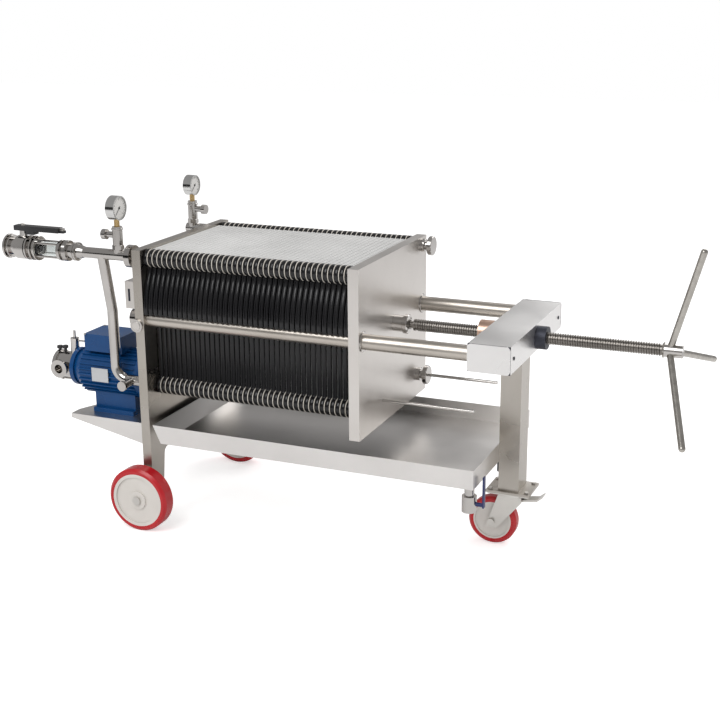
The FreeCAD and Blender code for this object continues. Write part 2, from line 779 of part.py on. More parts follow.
# Filter pack: plates that hang on the rails by their lugs, with corner ears and sheets between.
plate_blank = padded("PlateBlank", "YZ_Plane", [
    ("-plate_lower_half", "plate_bottom"),
    ("plate_lower_half", "plate_bottom"),
    ("plate_lower_half", "rail_height"),
    ("plate_lug_half", "rail_height"),
    ("plate_lug_half", "plate_lug_height"),
    ("plate_neck_half", "plate_neck_height"),
    ("plate_neck_half", "plate_top"),
    ("-plate_neck_half", "plate_top"),
    ("-plate_neck_half", "plate_neck_height"),
    ("-plate_lug_half", "plate_lug_height"),
    ("-plate_lug_half", "rail_height"),
    ("-plate_lower_half", "rail_height"),
], "plate_thickness", ("face_x", "0", "0"))
ears = []
rail_notches = []
plate_ends = ("face_x", "face_x + plate_thickness")
for sign in ("-", ""):
    ears.append(rod("TopEar", "X", "ear_radius", plate_ends, (sign + "top_ear_y", "top_ear_height")))
    ears.append(rod("LowEar", "X", "ear_radius", plate_ends, (sign + "low_ear_y", "low_ear_height")))
    rail_notches.append(rod("RailNotch", "X", "rail_radius + seat_gap",
                            ("face_x - cut_margin", "face_x + plate_pitch + cut_margin"),
                            (sign + "rail_y", "rail_height")))
first_plate = less("FirstPlate", joined("PlateForm", [plate_blank] + ears), rail_notches)
first_sheet = box("FirstSheet", ("face_x + plate_thickness", "face_x + plate_pitch"),
                  ("-plate_lower_half + sheet_margin", "plate_lower_half - sheet_margin"),
                  ("plate_bottom + sheet_margin", "plate_top - sheet_margin"))
doc.recompute()
plate_total = int(number("plate_count"))
along = [FreeCAD.Vector(i * number("plate_pitch"), 0, 0) for i in range(plate_total)]
node("filter_plates", shaped("FilterPlates", Part.makeCompound(
    [first_plate.Shape.translated(step) for step in along])))
node("filter_sheets", shaped("FilterSheets", Part.makeCompound(
    [first_sheet.Shape.translated(step) for step in along[:-1]])))

# Moving plate: it slides on the rails by two bushes, and the screw pushes on its hub.
moving = box("MovingBlank", ("moving_x", "moving_back"), ("-half_width", "half_width"),
             ("moving_bottom", "moving_top"))
bush_holes = []
bushes = []
for sign in ("-", ""):
    across = (sign + "rail_y", "rail_height")
    bush_holes.append(rod("BushHole", "X", "bush_radius",
                          ("moving_x - cut_margin", "moving_back + cut_margin"), across))
    bushes.append(turned("Bush", "X", [
        ("0", "rail_radius + running_gap"),
        ("0", "bush_radius"),
        ("moving_thickness + bush_flange", "bush_radius"),
        ("moving_thickness + bush_flange", "rail_radius + running_gap"),
    ], ("moving_x", *across)))
node("moving_plate", less("MovingPlate", moving, bush_holes))
node("rail_bushes", grouped("RailBushes", bushes))
node("thrust_hub", turned("ThrustHub", "X", [
    ("0", "0"),
    ("0", "thrust_hub_radius"),
    ("thrust_hub_depth", "thrust_hub_radius"),
    ("thrust_hub_depth", "screw_neck_radius + running_gap"),
    ("thrust_seat_depth", "screw_neck_radius + running_gap"),
    ("thrust_seat_depth", "0"),
], ("moving_back", "0", "screw_height")))
PORT_CAP = [
    ("0", "0"),
    ("0", "port_neck_radius"),
    ("port_neck_depth", "port_neck_radius"),
    ("port_neck_depth", "port_cap_radius"),
    ("port_neck_depth + port_cap_depth", "port_cap_radius"),
    ("port_neck_depth + port_cap_depth", "0"),
]
port_caps = [
    turned("TopPortCap", "X", PORT_CAP, ("moving_back", "top_ear_y", "top_ear_height")),
    turned("LowPortCap", "X", PORT_CAP, ("moving_back", "low_ear_y", "low_ear_height")),
]
node("port_caps", grouped("PortCaps", port_caps))
pull_rods = [
    rod("FarPullRod", "X", "pull_rod_radius",
        ("moving_back + port_neck_depth + port_cap_depth",
         "moving_back + port_neck_depth + port_cap_depth + far_rod_length"), ("low_ear_y", "low_ear_height")),
    rod("NearPullRod", "X", "pull_rod_radius", ("moving_back", "moving_back + near_rod_length"),
        ("-near_rod_y", "near_rod_height")),
]
node("pull_rods", grouped("PullRods", pull_rods))

# Screw with its three-armed handle, and the nut and collar that it runs in.
node("bronze_nut", turned("BronzeNut", "X", [
    ("0", "screw_radius + screw_bore_gap"),
    ("0", "nut_radius"),
    ("nut_depth", "nut_radius"),
    ("nut_depth", "nut_barrel_radius"),
    ("nut_depth + beam_depth", "nut_barrel_radius"),
    ("nut_depth + beam_depth", "screw_radius + screw_bore_gap"),
], ("nut_x", "0", "screw_height")))
node("screw_collar", turned("ScrewCollar", "X", [
    ("0", "screw_radius + screw_bore_gap"),
    ("0", "collar_radius"),
    ("collar_depth", "collar_radius"),
    ("collar_depth", "screw_radius + screw_bore_gap"),
], ("beam_back", "0", "screw_height")))
screw_start = "moving_back + thrust_seat_depth + seat_gap"
node("press_screw", turned("PressScrew", "X", [
    ("0", "0"),
    ("0", "screw_neck_radius"),
    ("hub_end - moving_back - thrust_seat_depth", "screw_neck_radius"),
    ("hub_end - moving_back - thrust_seat_depth", "screw_radius"),
    (f"screw_end - ({screw_start})", "screw_radius"),
    (f"screw_end - ({screw_start})", "0"),
], (screw_start, "0", "screw_height")))
node("handle_hub", rod("HandleHub", "X", "handle_hub_radius",
                       ("screw_end", "handle_end"), ("0", "screw_height")))
arm_total = int(number("arm_count"))
arm_bars = []
hub_shape = Part.makeCylinder(number("handle_hub_radius"), number("handle_hub_length"),
                              point("screw_end", "0", "screw_height"), FreeCAD.Vector(1, 0, 0))
for i in range(arm_total):
    angle = math.radians(number("arm_phase") + i * 360 / arm_total)
    root = point("arm_x", "0", "screw_height")
    spread = FreeCAD.Vector(0, math.cos(angle), math.sin(angle)) * number("arm_tip_radius")
    tip = point("tip_x", "0", "screw_height") + spread
    arm = bar_between(root, tip, number("arm_radius")).fuse(Part.makeSphere(number("arm_radius"), tip))
    arm_bars.append(arm.cut(hub_shape).removeSplitter())
node("handle_arms", shaped("HandleArms", Part.makeCompound(arm_bars)))

# Pump shelf: a plate with a tapered end and a gusset under each side.
node("pump_shelf", joined("PumpShelf", [
    padded("ShelfTop", "XY_Plane", [
        ("shelf_x", "-shelf_near"),
        ("head_x", "-shelf_near"),
        ("head_x", "shelf_far"),
        ("shelf_x + shelf_corner", "shelf_far"),
        ("shelf_x", "shelf_tip_width - shelf_near"),
    ], "shelf_thickness", ("0", "0", "shelf_top - shelf_thickness")),
    padded("NearGusset", "XZ_Plane", [
        ("shelf_x", "shelf_top - shelf_thickness - gusset_tip"),
        ("head_x", "shelf_top - shelf_thickness - gusset_height"),
        ("head_x", "shelf_top - shelf_thickness"),
        ("shelf_x", "shelf_top - shelf_thickness"),
    ], "shelf_thickness", ("0", "-shelf_near", "0")),
    padded("FarGusset", "XZ_Plane", [
        ("shelf_x + shelf_corner", "shelf_top - shelf_thickness - gusset_tip"),
        ("head_x", "shelf_top - shelf_thickness - gusset_height"),
        ("head_x", "shelf_top - shelf_thickness"),
        ("shelf_x + shelf_corner", "shelf_top - shelf_thickness"),
    ], "shelf_thickness", ("0", "shelf_far - shelf_thickness", "0")),
]))

# Motor: a finned body with its fan cover, drive-end bell, foot and terminal box.
motor_span = ("bell_x", "face_x - motor_end")
motor_core = rod("MotorCore", "X", "motor_radius", motor_span, ("pump_y", "motor_height"))
doc.recompute()
fin_total = int(number("fin_count"))
fin_reach = number("motor_radius + fin_height")
fin_half = number("fin_width / 2")
motor_centre = point("bell_x", "pump_y", "motor_height")
body_length = number("motor_start - motor_end")
foot_reach = ("face_x - motor_foot_start", "face_x - motor_foot_end")
foot_block = box("MotorFootBlock", foot_reach,
                 ("pump_y - motor_foot_width / 2", "pump_y + motor_foot_width / 2"),
                 ("shelf_top", "shelf_top + motor_foot_thickness"))
foot_neck = box("MotorFootNeck", foot_reach,
                ("pump_y - motor_neck_width / 2", "pump_y + motor_neck_width / 2"),
                ("shelf_top + motor_foot_thickness", "motor_height"))
doc.recompute()
fins = []
for i in range(fin_total):
    fin = Part.makeBox(body_length, fin_half * 2, fin_reach, motor_centre - FreeCAD.Vector(0, fin_half, 0))
    fin.rotate(motor_centre, FreeCAD.Vector(1, 0, 0), i * 360 / fin_total)
    fins.append(fin.cut(foot_neck.Shape))
motor_feature = shaped("MotorFins", motor_core.Shape.fuse(fins))
foot_room = rod("MotorFootRoom", "X", "motor_radius",
                ("face_x - motor_foot_start - cut_margin", "face_x - motor_foot_end + cut_margin"),
                ("pump_y", "motor_height"))
node("motor_foot", less("MotorFoot", joined("MotorFootForm", [foot_block, foot_neck]), [foot_room]))
box_seat = ("face_x - box_start", "face_x - box_end")
box_room = box("BoxRoom", box_seat, ("pump_y - box_width / 2", "pump_y + box_width / 2"),
               ("box_bottom", "box_top"))
node("motor_body", less("MotorBody", motor_feature, [box_room]))
box_body = box("BoxBody", box_seat, ("pump_y - box_width / 2", "pump_y + box_width / 2"),
               ("box_bottom", "box_top"))
motor_room = rod("MotorRoom", "X", "motor_radius", motor_span, ("pump_y", "motor_height"))
gland = rod("CableGland", "Y", "gland_radius",
            ("pump_y - box_width / 2 - gland_depth", "pump_y - box_width / 2"),
            ("face_x - box_end - gland_inset", "(box_bottom + box_top) / 2"))
node("terminal_box", less("TerminalBox", joined("BoxForm", [box_body, gland]), [motor_room]))
fan_cover = turned("FanCover", "X", [
    ("0", "0"),
    ("0", "fan_cover_radius"),
    ("motor_end - fan_cover_end - fan_cover_nose", "fan_cover_radius"),
    ("motor_end - fan_cover_end", "fan_cover_radius - fan_cover_nose"),
    ("motor_end - fan_cover_end", "0"),
], ("face_x - motor_end", "pump_y", "motor_height"))
motor_bell = turned("MotorBell", "X", [
    ("0", "0"),
    ("0", "flange_radius"),
    ("flange_depth", "flange_radius"),
    ("flange_depth", "bell_radius"),
    ("flange_depth + bell_length", "motor_radius"),
    ("flange_depth + bell_length", "0"),
], ("pump_front", "pump_y", "motor_height"))
node("motor_end_covers", grouped("MotorEnds", [fan_cover, motor_bell]))

# Pump: a round body with a front cover, two side ports with clamp ferrules and a relief valve.
pump_parts = [
    rod("PumpBody", "X", "pump_radius", ("pump_back", "pump_front"), ("pump_y", "motor_height")),
    rod("PumpCover", "X", "pump_cover_radius", ("pump_back - pump_cover_depth", "pump_back"),
        ("pump_y", "motor_height")),
]
port_bores = []
for side, sign in (("Near", "-"), ("Far", "+")):
    neck = ("pump_y - port_length", "pump_y") if sign == "-" else ("pump_y", "pump_y + port_length")
    rim = ("pump_y - port_length", "pump_y - port_length + ferrule_depth") if sign == "-" else (
        "pump_y + port_length - ferrule_depth", "pump_y + port_length")
    bore = ("pump_y - port_length - cut_margin", "pump_y - port_floor") if sign == "-" else (
        "pump_y + port_floor", "pump_y + port_length + cut_margin")
    pump_parts.append(rod(side + "PortNeck", "Y", "port_radius", neck, ("port_abs", "motor_height")))
    pump_parts.append(rod(side + "PortRim", "Y", "ferrule_radius", rim, ("port_abs", "motor_height")))
    port_bores.append(rod(side + "PortBore", "Y", "port_bore", bore, ("port_abs", "motor_height")))
node("pump_housing", less("PumpHousing", joined("PumpForm", pump_parts), port_bores))
relief = joined("ReliefForm", [
    rod("ReliefBody", "Z", "relief_radius", ("motor_height", "motor_height + pump_radius + relief_height"),
        ("face_x - relief_x", "pump_y")),
    rod("ReliefTip", "Z", "relief_tip_radius",
        ("motor_height + pump_radius + relief_height",
         "motor_height + pump_radius + relief_height + relief_tip_height"), ("face_x - relief_x", "pump_y")),
])
pump_room = rod("PumpRoom", "X", "pump_radius", ("pump_back - cut_margin", "pump_front + cut_margin"),
                ("pump_y", "motor_height"))
node("relief_valve", less("ReliefValve", relief, [pump_room]))

# Outlet line from the upper near port: pipe, sight glass between unions, then a butterfly valve.
outlet_across = ("line_y", "line_z")
outlet_bar = rod("OutletBar", "X", "outlet_radius", ("face_x - union_start", "head_x"), outlet_across)
outlet_hole = rod("OutletHole", "X", "outlet_bore",
                  ("face_x - union_start - cut_margin", "head_x - head_thickness / 2"), outlet_across)
node("outlet_pipe", less("OutletPipe", outlet_bar, [outlet_hole]))
node("outlet_clamp", turned("OutletClamp", "X", [
    ("0", "outlet_radius"),
    ("0", "clamp_radius"),
    ("clamp_depth", "clamp_radius"),
    ("clamp_depth", "outlet_radius"),
], ("clamp_x", *outlet_across)))
node("sight_union", turned("SightUnion", "X", [
    ("0", "outlet_bore"),
    ("0", "union_radius"),
    ("union_rim", "union_radius"),
    ("union_rim", "union_waist_radius"),
    ("union_length - union_rim", "union_waist_radius"),
    ("union_length - union_rim", "union_radius"),
    ("union_length", "union_radius"),
    ("union_length", "outlet_bore"),
], ("union_x", *outlet_across)))
node("sight_glass", turned("SightGlass", "X", [
    ("0", "glass_radius - glass_wall"),
    ("0", "glass_radius"),
    ("glass_length", "glass_radius"),
    ("glass_length", "glass_radius - glass_wall"),
], ("glass_x", *outlet_across)))
glass_rods = []
for i in range(int(number("tie_rod_count"))):
    turn = f"(tie_rod_phase + {i} * 360 / tie_rod_count)"
    glass_rods.append(rod("GlassRod", "X", "tie_rod_radius", ("glass_x", "union_x"), (
        f"line_y + tie_rod_circle * cos({turn})", f"line_z + tie_rod_circle * sin({turn})")))
node("sight_tie_rods", grouped("SightRods", glass_rods))
valve_ring = turned("ValveRing", "X", [
    ("valve_mouth_depth", "outlet_bore"),
    ("valve_mouth_depth", "valve_mouth_radius"),
    ("0", "valve_mouth_radius"),
    ("0", "ferrule_radius"),
    ("ferrule_depth", "ferrule_radius"),
    ("ferrule_depth", "valve_waist_radius"),
    ("(valve_length - valve_centre_depth) / 2", "valve_waist_radius"),
    ("(valve_length - valve_centre_depth) / 2", "valve_body_radius"),
    ("(valve_length + valve_centre_depth) / 2", "valve_body_radius"),
    ("(valve_length + valve_centre_depth) / 2", "valve_waist_radius"),
    ("valve_length - union_rim", "valve_waist_radius"),
    ("valve_length - union_rim", "union_radius"),
    ("valve_length", "union_radius"),
    ("valve_length", "outlet_bore"),
], ("valve_end", *outlet_across))
valve_boss = rod("ValveBoss", "Z", "valve_boss_radius",
                 ("line_z + valve_waist_radius", "lever_z - seat_gap"), ("valve_x", "line_y"))
stem_hole = rod("StemHole", "Z", "valve_stem_radius + running_gap", ("line_z", "lever_z + cut_margin"),
                ("valve_x", "line_y"))
node("valve_body", less("ValveBody", joined("ValveForm", [valve_ring, valve_boss]), [stem_hole]))
disc = rod("ValveDisc", "Y", "outlet_bore - valve_disc_gap",
           ("line_y - valve_disc_thickness / 2", "line_y + valve_disc_thickness / 2"), ("valve_x", "line_z"))
stem = rod("ValveStem", "Z", "valve_stem_radius", ("line_z + outlet_bore - 2 * valve_disc_gap", "lever_z"),
           ("valve_x", "line_y"))
node("valve_disc", joined("DiscAndStem", [disc, stem]))
lever_bar = box("LeverBar", ("valve_x - lever_back", "valve_x + lever_length - lever_tip_length"),
                ("line_y - lever_width / 2", "line_y + lever_width / 2"),
                ("lever_z", "lever_z + lever_height"))
lever_latch = box("LeverLatch", ("valve_x + valve_boss_radius + cut_margin", "valve_x + lever_latch_length"),
                  ("line_y - lever_width / 2", "line_y + lever_width / 2"),
                  ("lever_z - lever_latch_drop", "lever_z"))
lever_tip = box("LeverTip", ("valve_x + lever_length - lever_tip_length", "valve_x + lever_length"),
                ("line_y - lever_tip_width / 2", "line_y + lever_tip_width / 2"),
                ("lever_z", "lever_z + lever_height / 2"))
node("valve_lever", joined("ValveLever", [lever_bar, lever_latch, lever_tip]))

# Riser that joins the lower near port to the outlet pipe, with a plugged drain stub.
mitre = point("riser_abs", "low_line_y", "riser_joint_height")
riser_top = point("riser_abs", "line_y", "line_z")
pipe_radius = number("outlet_radius")
bend = number("riser_bend")
elbow_centre = point("riser_abs + riser_bend", "low_line_y", "elbow_z")
elbow = Part.makeTorus(bend, pipe_radius, elbow_centre, FreeCAD.Vector(0, 1, 0), -180, 180, 90)
elbow.rotate(elbow_centre, FreeCAD.Vector(0, 1, 0), 180)
riser = bar_between(mitre, riser_top, pipe_radius)
riser = riser.fuse(Part.makeSphere(pipe_radius, mitre))
riser = riser.fuse(bar_between(point("riser_abs", "low_line_y", "elbow_z"), mitre, pipe_radius))
riser = riser.fuse(elbow)
riser = riser.fuse(bar_between(point("riser_abs + riser_bend", "low_line_y", "low_line_z"),
                               point("head_x", "low_line_y", "low_line_z"), pipe_radius))
stub_end = point("stub_x", "low_line_y - drain_stub_length", "low_line_z")
plug_end = point("stub_x", "low_line_y - drain_stub_length - plug_depth", "low_line_z")
riser = riser.fuse(bar_between(stub_end, point("stub_x", "low_line_y", "low_line_z"), number("stub_radius")))
riser = riser.fuse(bar_between(plug_end, stub_end, number("plug_radius")))
riser_form = shaped("RiserForm", riser)
pipe_room = rod("PipeRoom", "X", "outlet_radius", ("face_x - union_start", "head_x"), outlet_across)
node("riser_pipe", less("RiserPipe", riser_form, [pipe_room]))

# Gauges: each on a column with a sampling tap, the near one on the outlet pipe and the far one
# on the inlet stub behind the fixed plate.
inlet_bar = rod("InletBar", "X", "outlet_radius",
                ("face_x - far_gauge_x - inlet_overhang", "head_x"), ("top_ear_y", "line_z"))
inlet_hole = rod("InletHole", "X", "outlet_bore",
                 ("face_x - far_gauge_x - inlet_overhang - cut_margin", "head_x"), ("top_ear_y", "line_z"))
node("inlet_stub", less("InletStub", inlet_bar, [inlet_hole]))
gauge_blocks = []
gauge_stems = []
gauge_cases = []


def along_tap(side, start, low, high):
    """The ends of a span along a tap, which points to -X on the near side and to +X on the far one."""
    if side == "near":
        return f"{start} - ({high})", f"{start} - ({low})"
    return f"{start} + ({low})", f"{start} + ({high})"


for side, across in (("near", "line_y"), ("far", "top_ear_y")):
    title = side.title()
    gauge_abs = f"(face_x - {side}_gauge_x)"
    height = f"{side}_gauge_height"
    radius = f"{side}_gauge_radius"
    case_bottom = f"({height} - {radius})"
    block_top = f"({case_bottom} - gauge_stem_length)"
    tap_z = f"({block_top} - knob_drop)"
    arm_end = "gauge_block_radius + knob_arm_length"
    arm_span = along_tap(side, gauge_abs, "0", arm_end)
    bore_span = along_tap(side, gauge_abs, arm_end + " - tap_spindle_depth", arm_end + " + cut_margin")
    knob_span = along_tap(side, gauge_abs, arm_end + " + seat_gap", arm_end + " + seat_gap + knob_depth")
    spindle_span = along_tap(side, gauge_abs, arm_end + " + seat_gap - tap_spindle_depth",
                             arm_end + " + seat_gap")
    column = rod(title + "Column", "Z", "gauge_block_radius", ("line_z", block_top), (gauge_abs, across))
    tap = rod(title + "Tap", "X", "knob_arm_radius", arm_span, (across, tap_z))
    room = rod(title + "PipeRoom", "X", "outlet_radius",
               ("face_x - union_start", "head_x"), (across, "line_z"))
    bore = rod(title + "TapBore", "X", "tap_spindle_radius + running_gap", bore_span, (across, tap_z))
    block_form = joined(title + "BlockForm", [column, tap])
    gauge_blocks.append(less(title + "GaugeBlock", block_form, [room, bore]))
    stem_ends = (block_top, f"({case_bottom} + gauge_rim)")
    gauge_stems.append(rod(title + "GaugeStem", "Z", "gauge_stem_radius", stem_ends, (gauge_abs, across)))
    case = turned(title + "Case", "X", [
        ("0", "0"),
        ("0", radius),
        ("gauge_depth", radius),
        ("gauge_depth", f"{radius} - gauge_rim"),
        ("gauge_depth - gauge_rim", f"{radius} - gauge_rim"),
        ("gauge_depth - gauge_rim", "0"),
    ], (f"{gauge_abs} - gauge_depth / 2", across, height))
    stem_room = rod(title + "StemRoom", "Z", "gauge_stem_radius", stem_ends, (gauge_abs, across))
    gauge_cases.append(less(title + "GaugeCase", case, [stem_room]))
    node(f"{side}_tap_knob", joined(title + "TapKnob", [
        rod(title + "KnobDisc", "X", "knob_radius", knob_span, (across, tap_z)),
        rod(title + "Spindle", "X", "tap_spindle_radius", spindle_span, (across, tap_z)),
    ]))
node("gauge_blocks", grouped("GaugeBlocks", gauge_blocks))
node("gauge_stems", grouped("GaugeStems", gauge_stems))
node("gauge_cases", grouped("GaugeCases", gauge_cases))

# Switch box on the outer face of the fixed plate.
node("switch_box", box("SwitchBox", ("switch_x", "head_x"),
                       ("-half_width", "-half_width + switch_width"),
                       ("switch_bottom", "switch_bottom + switch_height")))

# Drain valve under the tray, with its upright lever beside the tray's end.
drain_across = ("drain_abs", "-drain_y")
drain_form = joined("DrainForm", [
    rod("DrainPipe", "Z", "drain_pipe_radius", ("drain_top", "tray_bottom"), drain_across),
    rod("DrainBody", "Z", "drain_body_radius", ("drain_bottom", "drain_top"), drain_across),
])
drain_bore = rod("DrainBore", "Z", "drain_bore_radius",
                 ("drain_bottom - cut_margin", "tray_bottom + cut_margin"), drain_across)
drain_stem_hole = rod("DrainStemHole", "X", "drain_stem_radius + running_gap",
                      ("drain_abs + drain_bore_radius", "drain_abs + drain_body_radius + cut_margin"),
                      ("-drain_y", "drain_body_z"))
node("drain_valve", less("DrainValve", drain_form, [drain_bore, drain_stem_hole]))
node("drain_lever", joined("DrainLever", [
    rod("DrainStem", "X", "drain_stem_radius", ("drain_abs + drain_bore_radius + seat_gap", "drain_lever_x"),
        ("-drain_y", "drain_body_z")),
    box("DrainHandle", ("drain_lever_x", "drain_lever_x + drain_lever_thickness"),
        ("-drain_y - drain_lever_width / 2", "-drain_y + drain_lever_width / 2"),
        ("drain_body_z - drain_lever_width / 2", "drain_body_z + drain_lever_length")),
]))

doc.recompute()
for thing in doc.Objects:
    if "Invalid" in thing.State or "Error" in thing.State:
        raise RuntimeError(f"{thing.Label} did not recompute")
for thing in NODES:
    if thing.Shape.isNull() or not thing.Shape.isValid():
        raise RuntimeError(f"{thing.Label} has no valid shape")
os.makedirs("parts", exist_ok=True)
for thing in NODES:
    thing.Shape.exportStep(f"parts/{thing.Label}.step")
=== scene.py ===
import bpy
import bmesh
import math
from mathutils import Matrix, Vector


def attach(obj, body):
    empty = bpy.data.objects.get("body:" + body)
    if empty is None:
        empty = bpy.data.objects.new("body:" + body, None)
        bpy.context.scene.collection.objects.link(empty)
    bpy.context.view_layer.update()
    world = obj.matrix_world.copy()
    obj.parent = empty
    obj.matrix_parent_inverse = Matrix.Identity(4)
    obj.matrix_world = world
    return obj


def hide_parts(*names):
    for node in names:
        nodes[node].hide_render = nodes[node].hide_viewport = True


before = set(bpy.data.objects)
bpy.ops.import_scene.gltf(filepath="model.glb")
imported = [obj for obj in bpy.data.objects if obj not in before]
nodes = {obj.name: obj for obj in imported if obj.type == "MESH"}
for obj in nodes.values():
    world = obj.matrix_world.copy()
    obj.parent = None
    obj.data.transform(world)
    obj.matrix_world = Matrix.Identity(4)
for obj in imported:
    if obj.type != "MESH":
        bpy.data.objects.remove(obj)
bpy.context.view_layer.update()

# Studio. A plain white sweep in soft daylight, with a large lamp over the near side and a weaker
# one behind. Two dark screens that only metal sees give pipes their dark streaks, and the camera
# looks down past the screw end.
CAMERA_PLACE = (1.2729, -2.8983, 1.3782)
HEADING, LOOK_DOWN, LEAN = 23.18, 16.57, -0.46
DAYLIGHT, DAYLIGHT_IN_METAL = 0.80, 0.46
camera_data = bpy.data.cameras.new("studio_camera")
camera_data.lens = 64.28
camera_data.sensor_width = 36
camera_data.clip_end = 60
camera = bpy.data.objects.new("studio_camera", camera_data)
heading = Matrix.Rotation(math.radians(HEADING), 4, "Z")
tilt = Matrix.Rotation(math.radians(90 - LOOK_DOWN), 4, "X")
lean = Matrix.Rotation(math.radians(LEAN), 4, "Z")
camera.matrix_world = Matrix.Translation(CAMERA_PLACE) @ heading @ tilt @ lean
bpy.context.scene.collection.objects.link(camera)
bpy.context.scene.camera = camera
bpy.context.scene.view_settings.view_transform = "Standard"

world = bpy.data.worlds.new("studio_world")
bpy.context.scene.world = world
world.use_nodes = True
world_tree = world.node_tree
daylight = world_tree.nodes["Background"]
daylight.inputs["Color"].default_value = (0.84, 0.83, 0.83, 1)
paper = world_tree.nodes.new("ShaderNodeBackground")
paper.inputs["Color"].default_value = (1, 1, 1, 1)
ray = world_tree.nodes.new("ShaderNodeLightPath")
dimmed = world_tree.nodes.new("ShaderNodeMapRange")
dimmed.inputs["To Min"].default_value = DAYLIGHT
dimmed.inputs["To Max"].default_value = DAYLIGHT_IN_METAL
world_tree.links.new(ray.outputs["Is Glossy Ray"], dimmed.inputs["Value"])
world_tree.links.new(dimmed.outputs["Result"], daylight.inputs["Strength"])
seen = world_tree.nodes.new("ShaderNodeMath")
seen.operation = "MAXIMUM"
either = world_tree.nodes.new("ShaderNodeMixShader")
world_tree.links.new(ray.outputs["Is Camera Ray"], seen.inputs[0])
world_tree.links.new(ray.outputs["Is Transmission Ray"], seen.inputs[1])
world_tree.links.new(seen.outputs[0], either.inputs[0])
world_tree.links.new(daylight.outputs[0], either.inputs[1])
world_tree.links.new(paper.outputs[0], either.inputs[2])
world_tree.links.new(either.outputs[0], world_tree.nodes["World Output"].inputs["Surface"])


def studio_sheet(name, size, place, turn, colour, glow):
    """A flat staged sheet: the floor or a dark screen. glow is what the camera sees on top."""
    shape = bmesh.new()
    bmesh.ops.create_grid(shape, x_segments=1, y_segments=1, size=size)
    data = bpy.data.meshes.new(name)
    bmesh.ops.transform(shape, matrix=Matrix.Translation(place) @ Matrix.Rotation(turn, 4, "X"),
                        verts=shape.verts)
    shape.to_mesh(data)
    shape.free()
    sheet = bpy.data.objects.new(name, data)
    bpy.context.scene.collection.objects.link(sheet)
    paint = bpy.data.materials.new(name + "_paint")
    paint.use_nodes = True
    tree = paint.node_tree
    surface = tree.nodes["Principled BSDF"]
    surface.inputs["Base Color"].default_value = (*colour, 1)
    surface.inputs["Roughness"].default_value = 0.8
    surface.inputs["Specular IOR Level"].default_value = 0.1
    surface.inputs["Emission Color"].default_value = (1, 1, 1, 1)
    path = tree.nodes.new("ShaderNodeLightPath")
    lift = tree.nodes.new("ShaderNodeMath")
    lift.operation = "MULTIPLY"
    lift.inputs[1].default_value = glow
    tree.links.new(path.outputs["Is Camera Ray"], lift.inputs[0])
    tree.links.new(lift.outputs[0], surface.inputs["Emission Strength"])
    data.materials.append(paint)
    return sheet


studio_sheet("studio_floor", 12, (0, 0, 0), 0, (0.9, 0.9, 0.9), 0.5)
for name, place in (("near_screen", (-2.6, -4.2, 1.0)), ("far_screen", (3.4, -4.6, 1.6))):
    screen = studio_sheet(name, 0.9, place, math.radians(90), (0.03, 0.03, 0.03), 0)
    screen.visible_camera = False
    screen.visible_diffuse = False
    screen.visible_shadow = False
for name, place, size, power in (
        ("key_lamp", (-0.6, -2.6, 3.0), 2.2, 62),
        ("far_lamp", (0.8, 2.6, 2.6), 2.4, 40)):
    lamp_data = bpy.data.lights.new(name, "AREA")
    lamp_data.size = size
    lamp_data.energy = power
    lamp = bpy.data.objects.new(name, lamp_data)
    lamp.visible_camera = False
    aim = Vector((0, 0, 0.4)) - Vector(place)
    lamp.matrix_world = Matrix.Translation(place) @ aim.to_track_quat("-Z", "Y").to_matrix().to_4x4()
    bpy.context.scene.collection.objects.link(lamp)

# Fixed plate and its legs. One stainless plate, 25 mm thick, cut to shape and ground with an
# upright grain. The grain, blotches and handling marks below serve every finish on the machine.
surface_marks = bpy.data.node_groups.new("surface_marks", "ShaderNodeTree")
for socket in ("Place", "Grain"):
    surface_marks.interface.new_socket(socket, in_out="INPUT", socket_type="NodeSocketVector")
marks_in = surface_marks.nodes.new("NodeGroupInput")
marks_out = surface_marks.nodes.new("NodeGroupOutput")
for socket, scale, detail, stretched in (
        ("Lines", 700, 2, True),
        ("Bands", 60, 3, True),
        ("Clouds", 5, 4, False),
        ("Specks", 1100, 1, False)):
    surface_marks.interface.new_socket(socket, in_out="OUTPUT", socket_type="NodeSocketFloat")
    noise = surface_marks.nodes.new("ShaderNodeTexNoise")
    noise.inputs["Scale"].default_value = scale
    noise.inputs["Detail"].default_value = detail
    source = marks_in.outputs["Place"]
    if stretched:
        along = surface_marks.nodes.new("ShaderNodeVectorMath")
        along.operation = "MULTIPLY"
        surface_marks.links.new(source, along.inputs[0])
        surface_marks.links.new(marks_in.outputs["Grain"], along.inputs[1])
        source = along.outputs[0]
    surface_marks.links.new(source, noise.inputs["Vector"])
    spread = surface_marks.nodes.new("ShaderNodeMapRange")
    spread.inputs["From Min"].default_value = 0.32
    spread.inputs["From Max"].default_value = 0.68
    surface_marks.links.new(noise.outputs["Fac"], spread.inputs["Value"])
    surface_marks.links.new(spread.outputs["Result"], marks_out.inputs[socket])


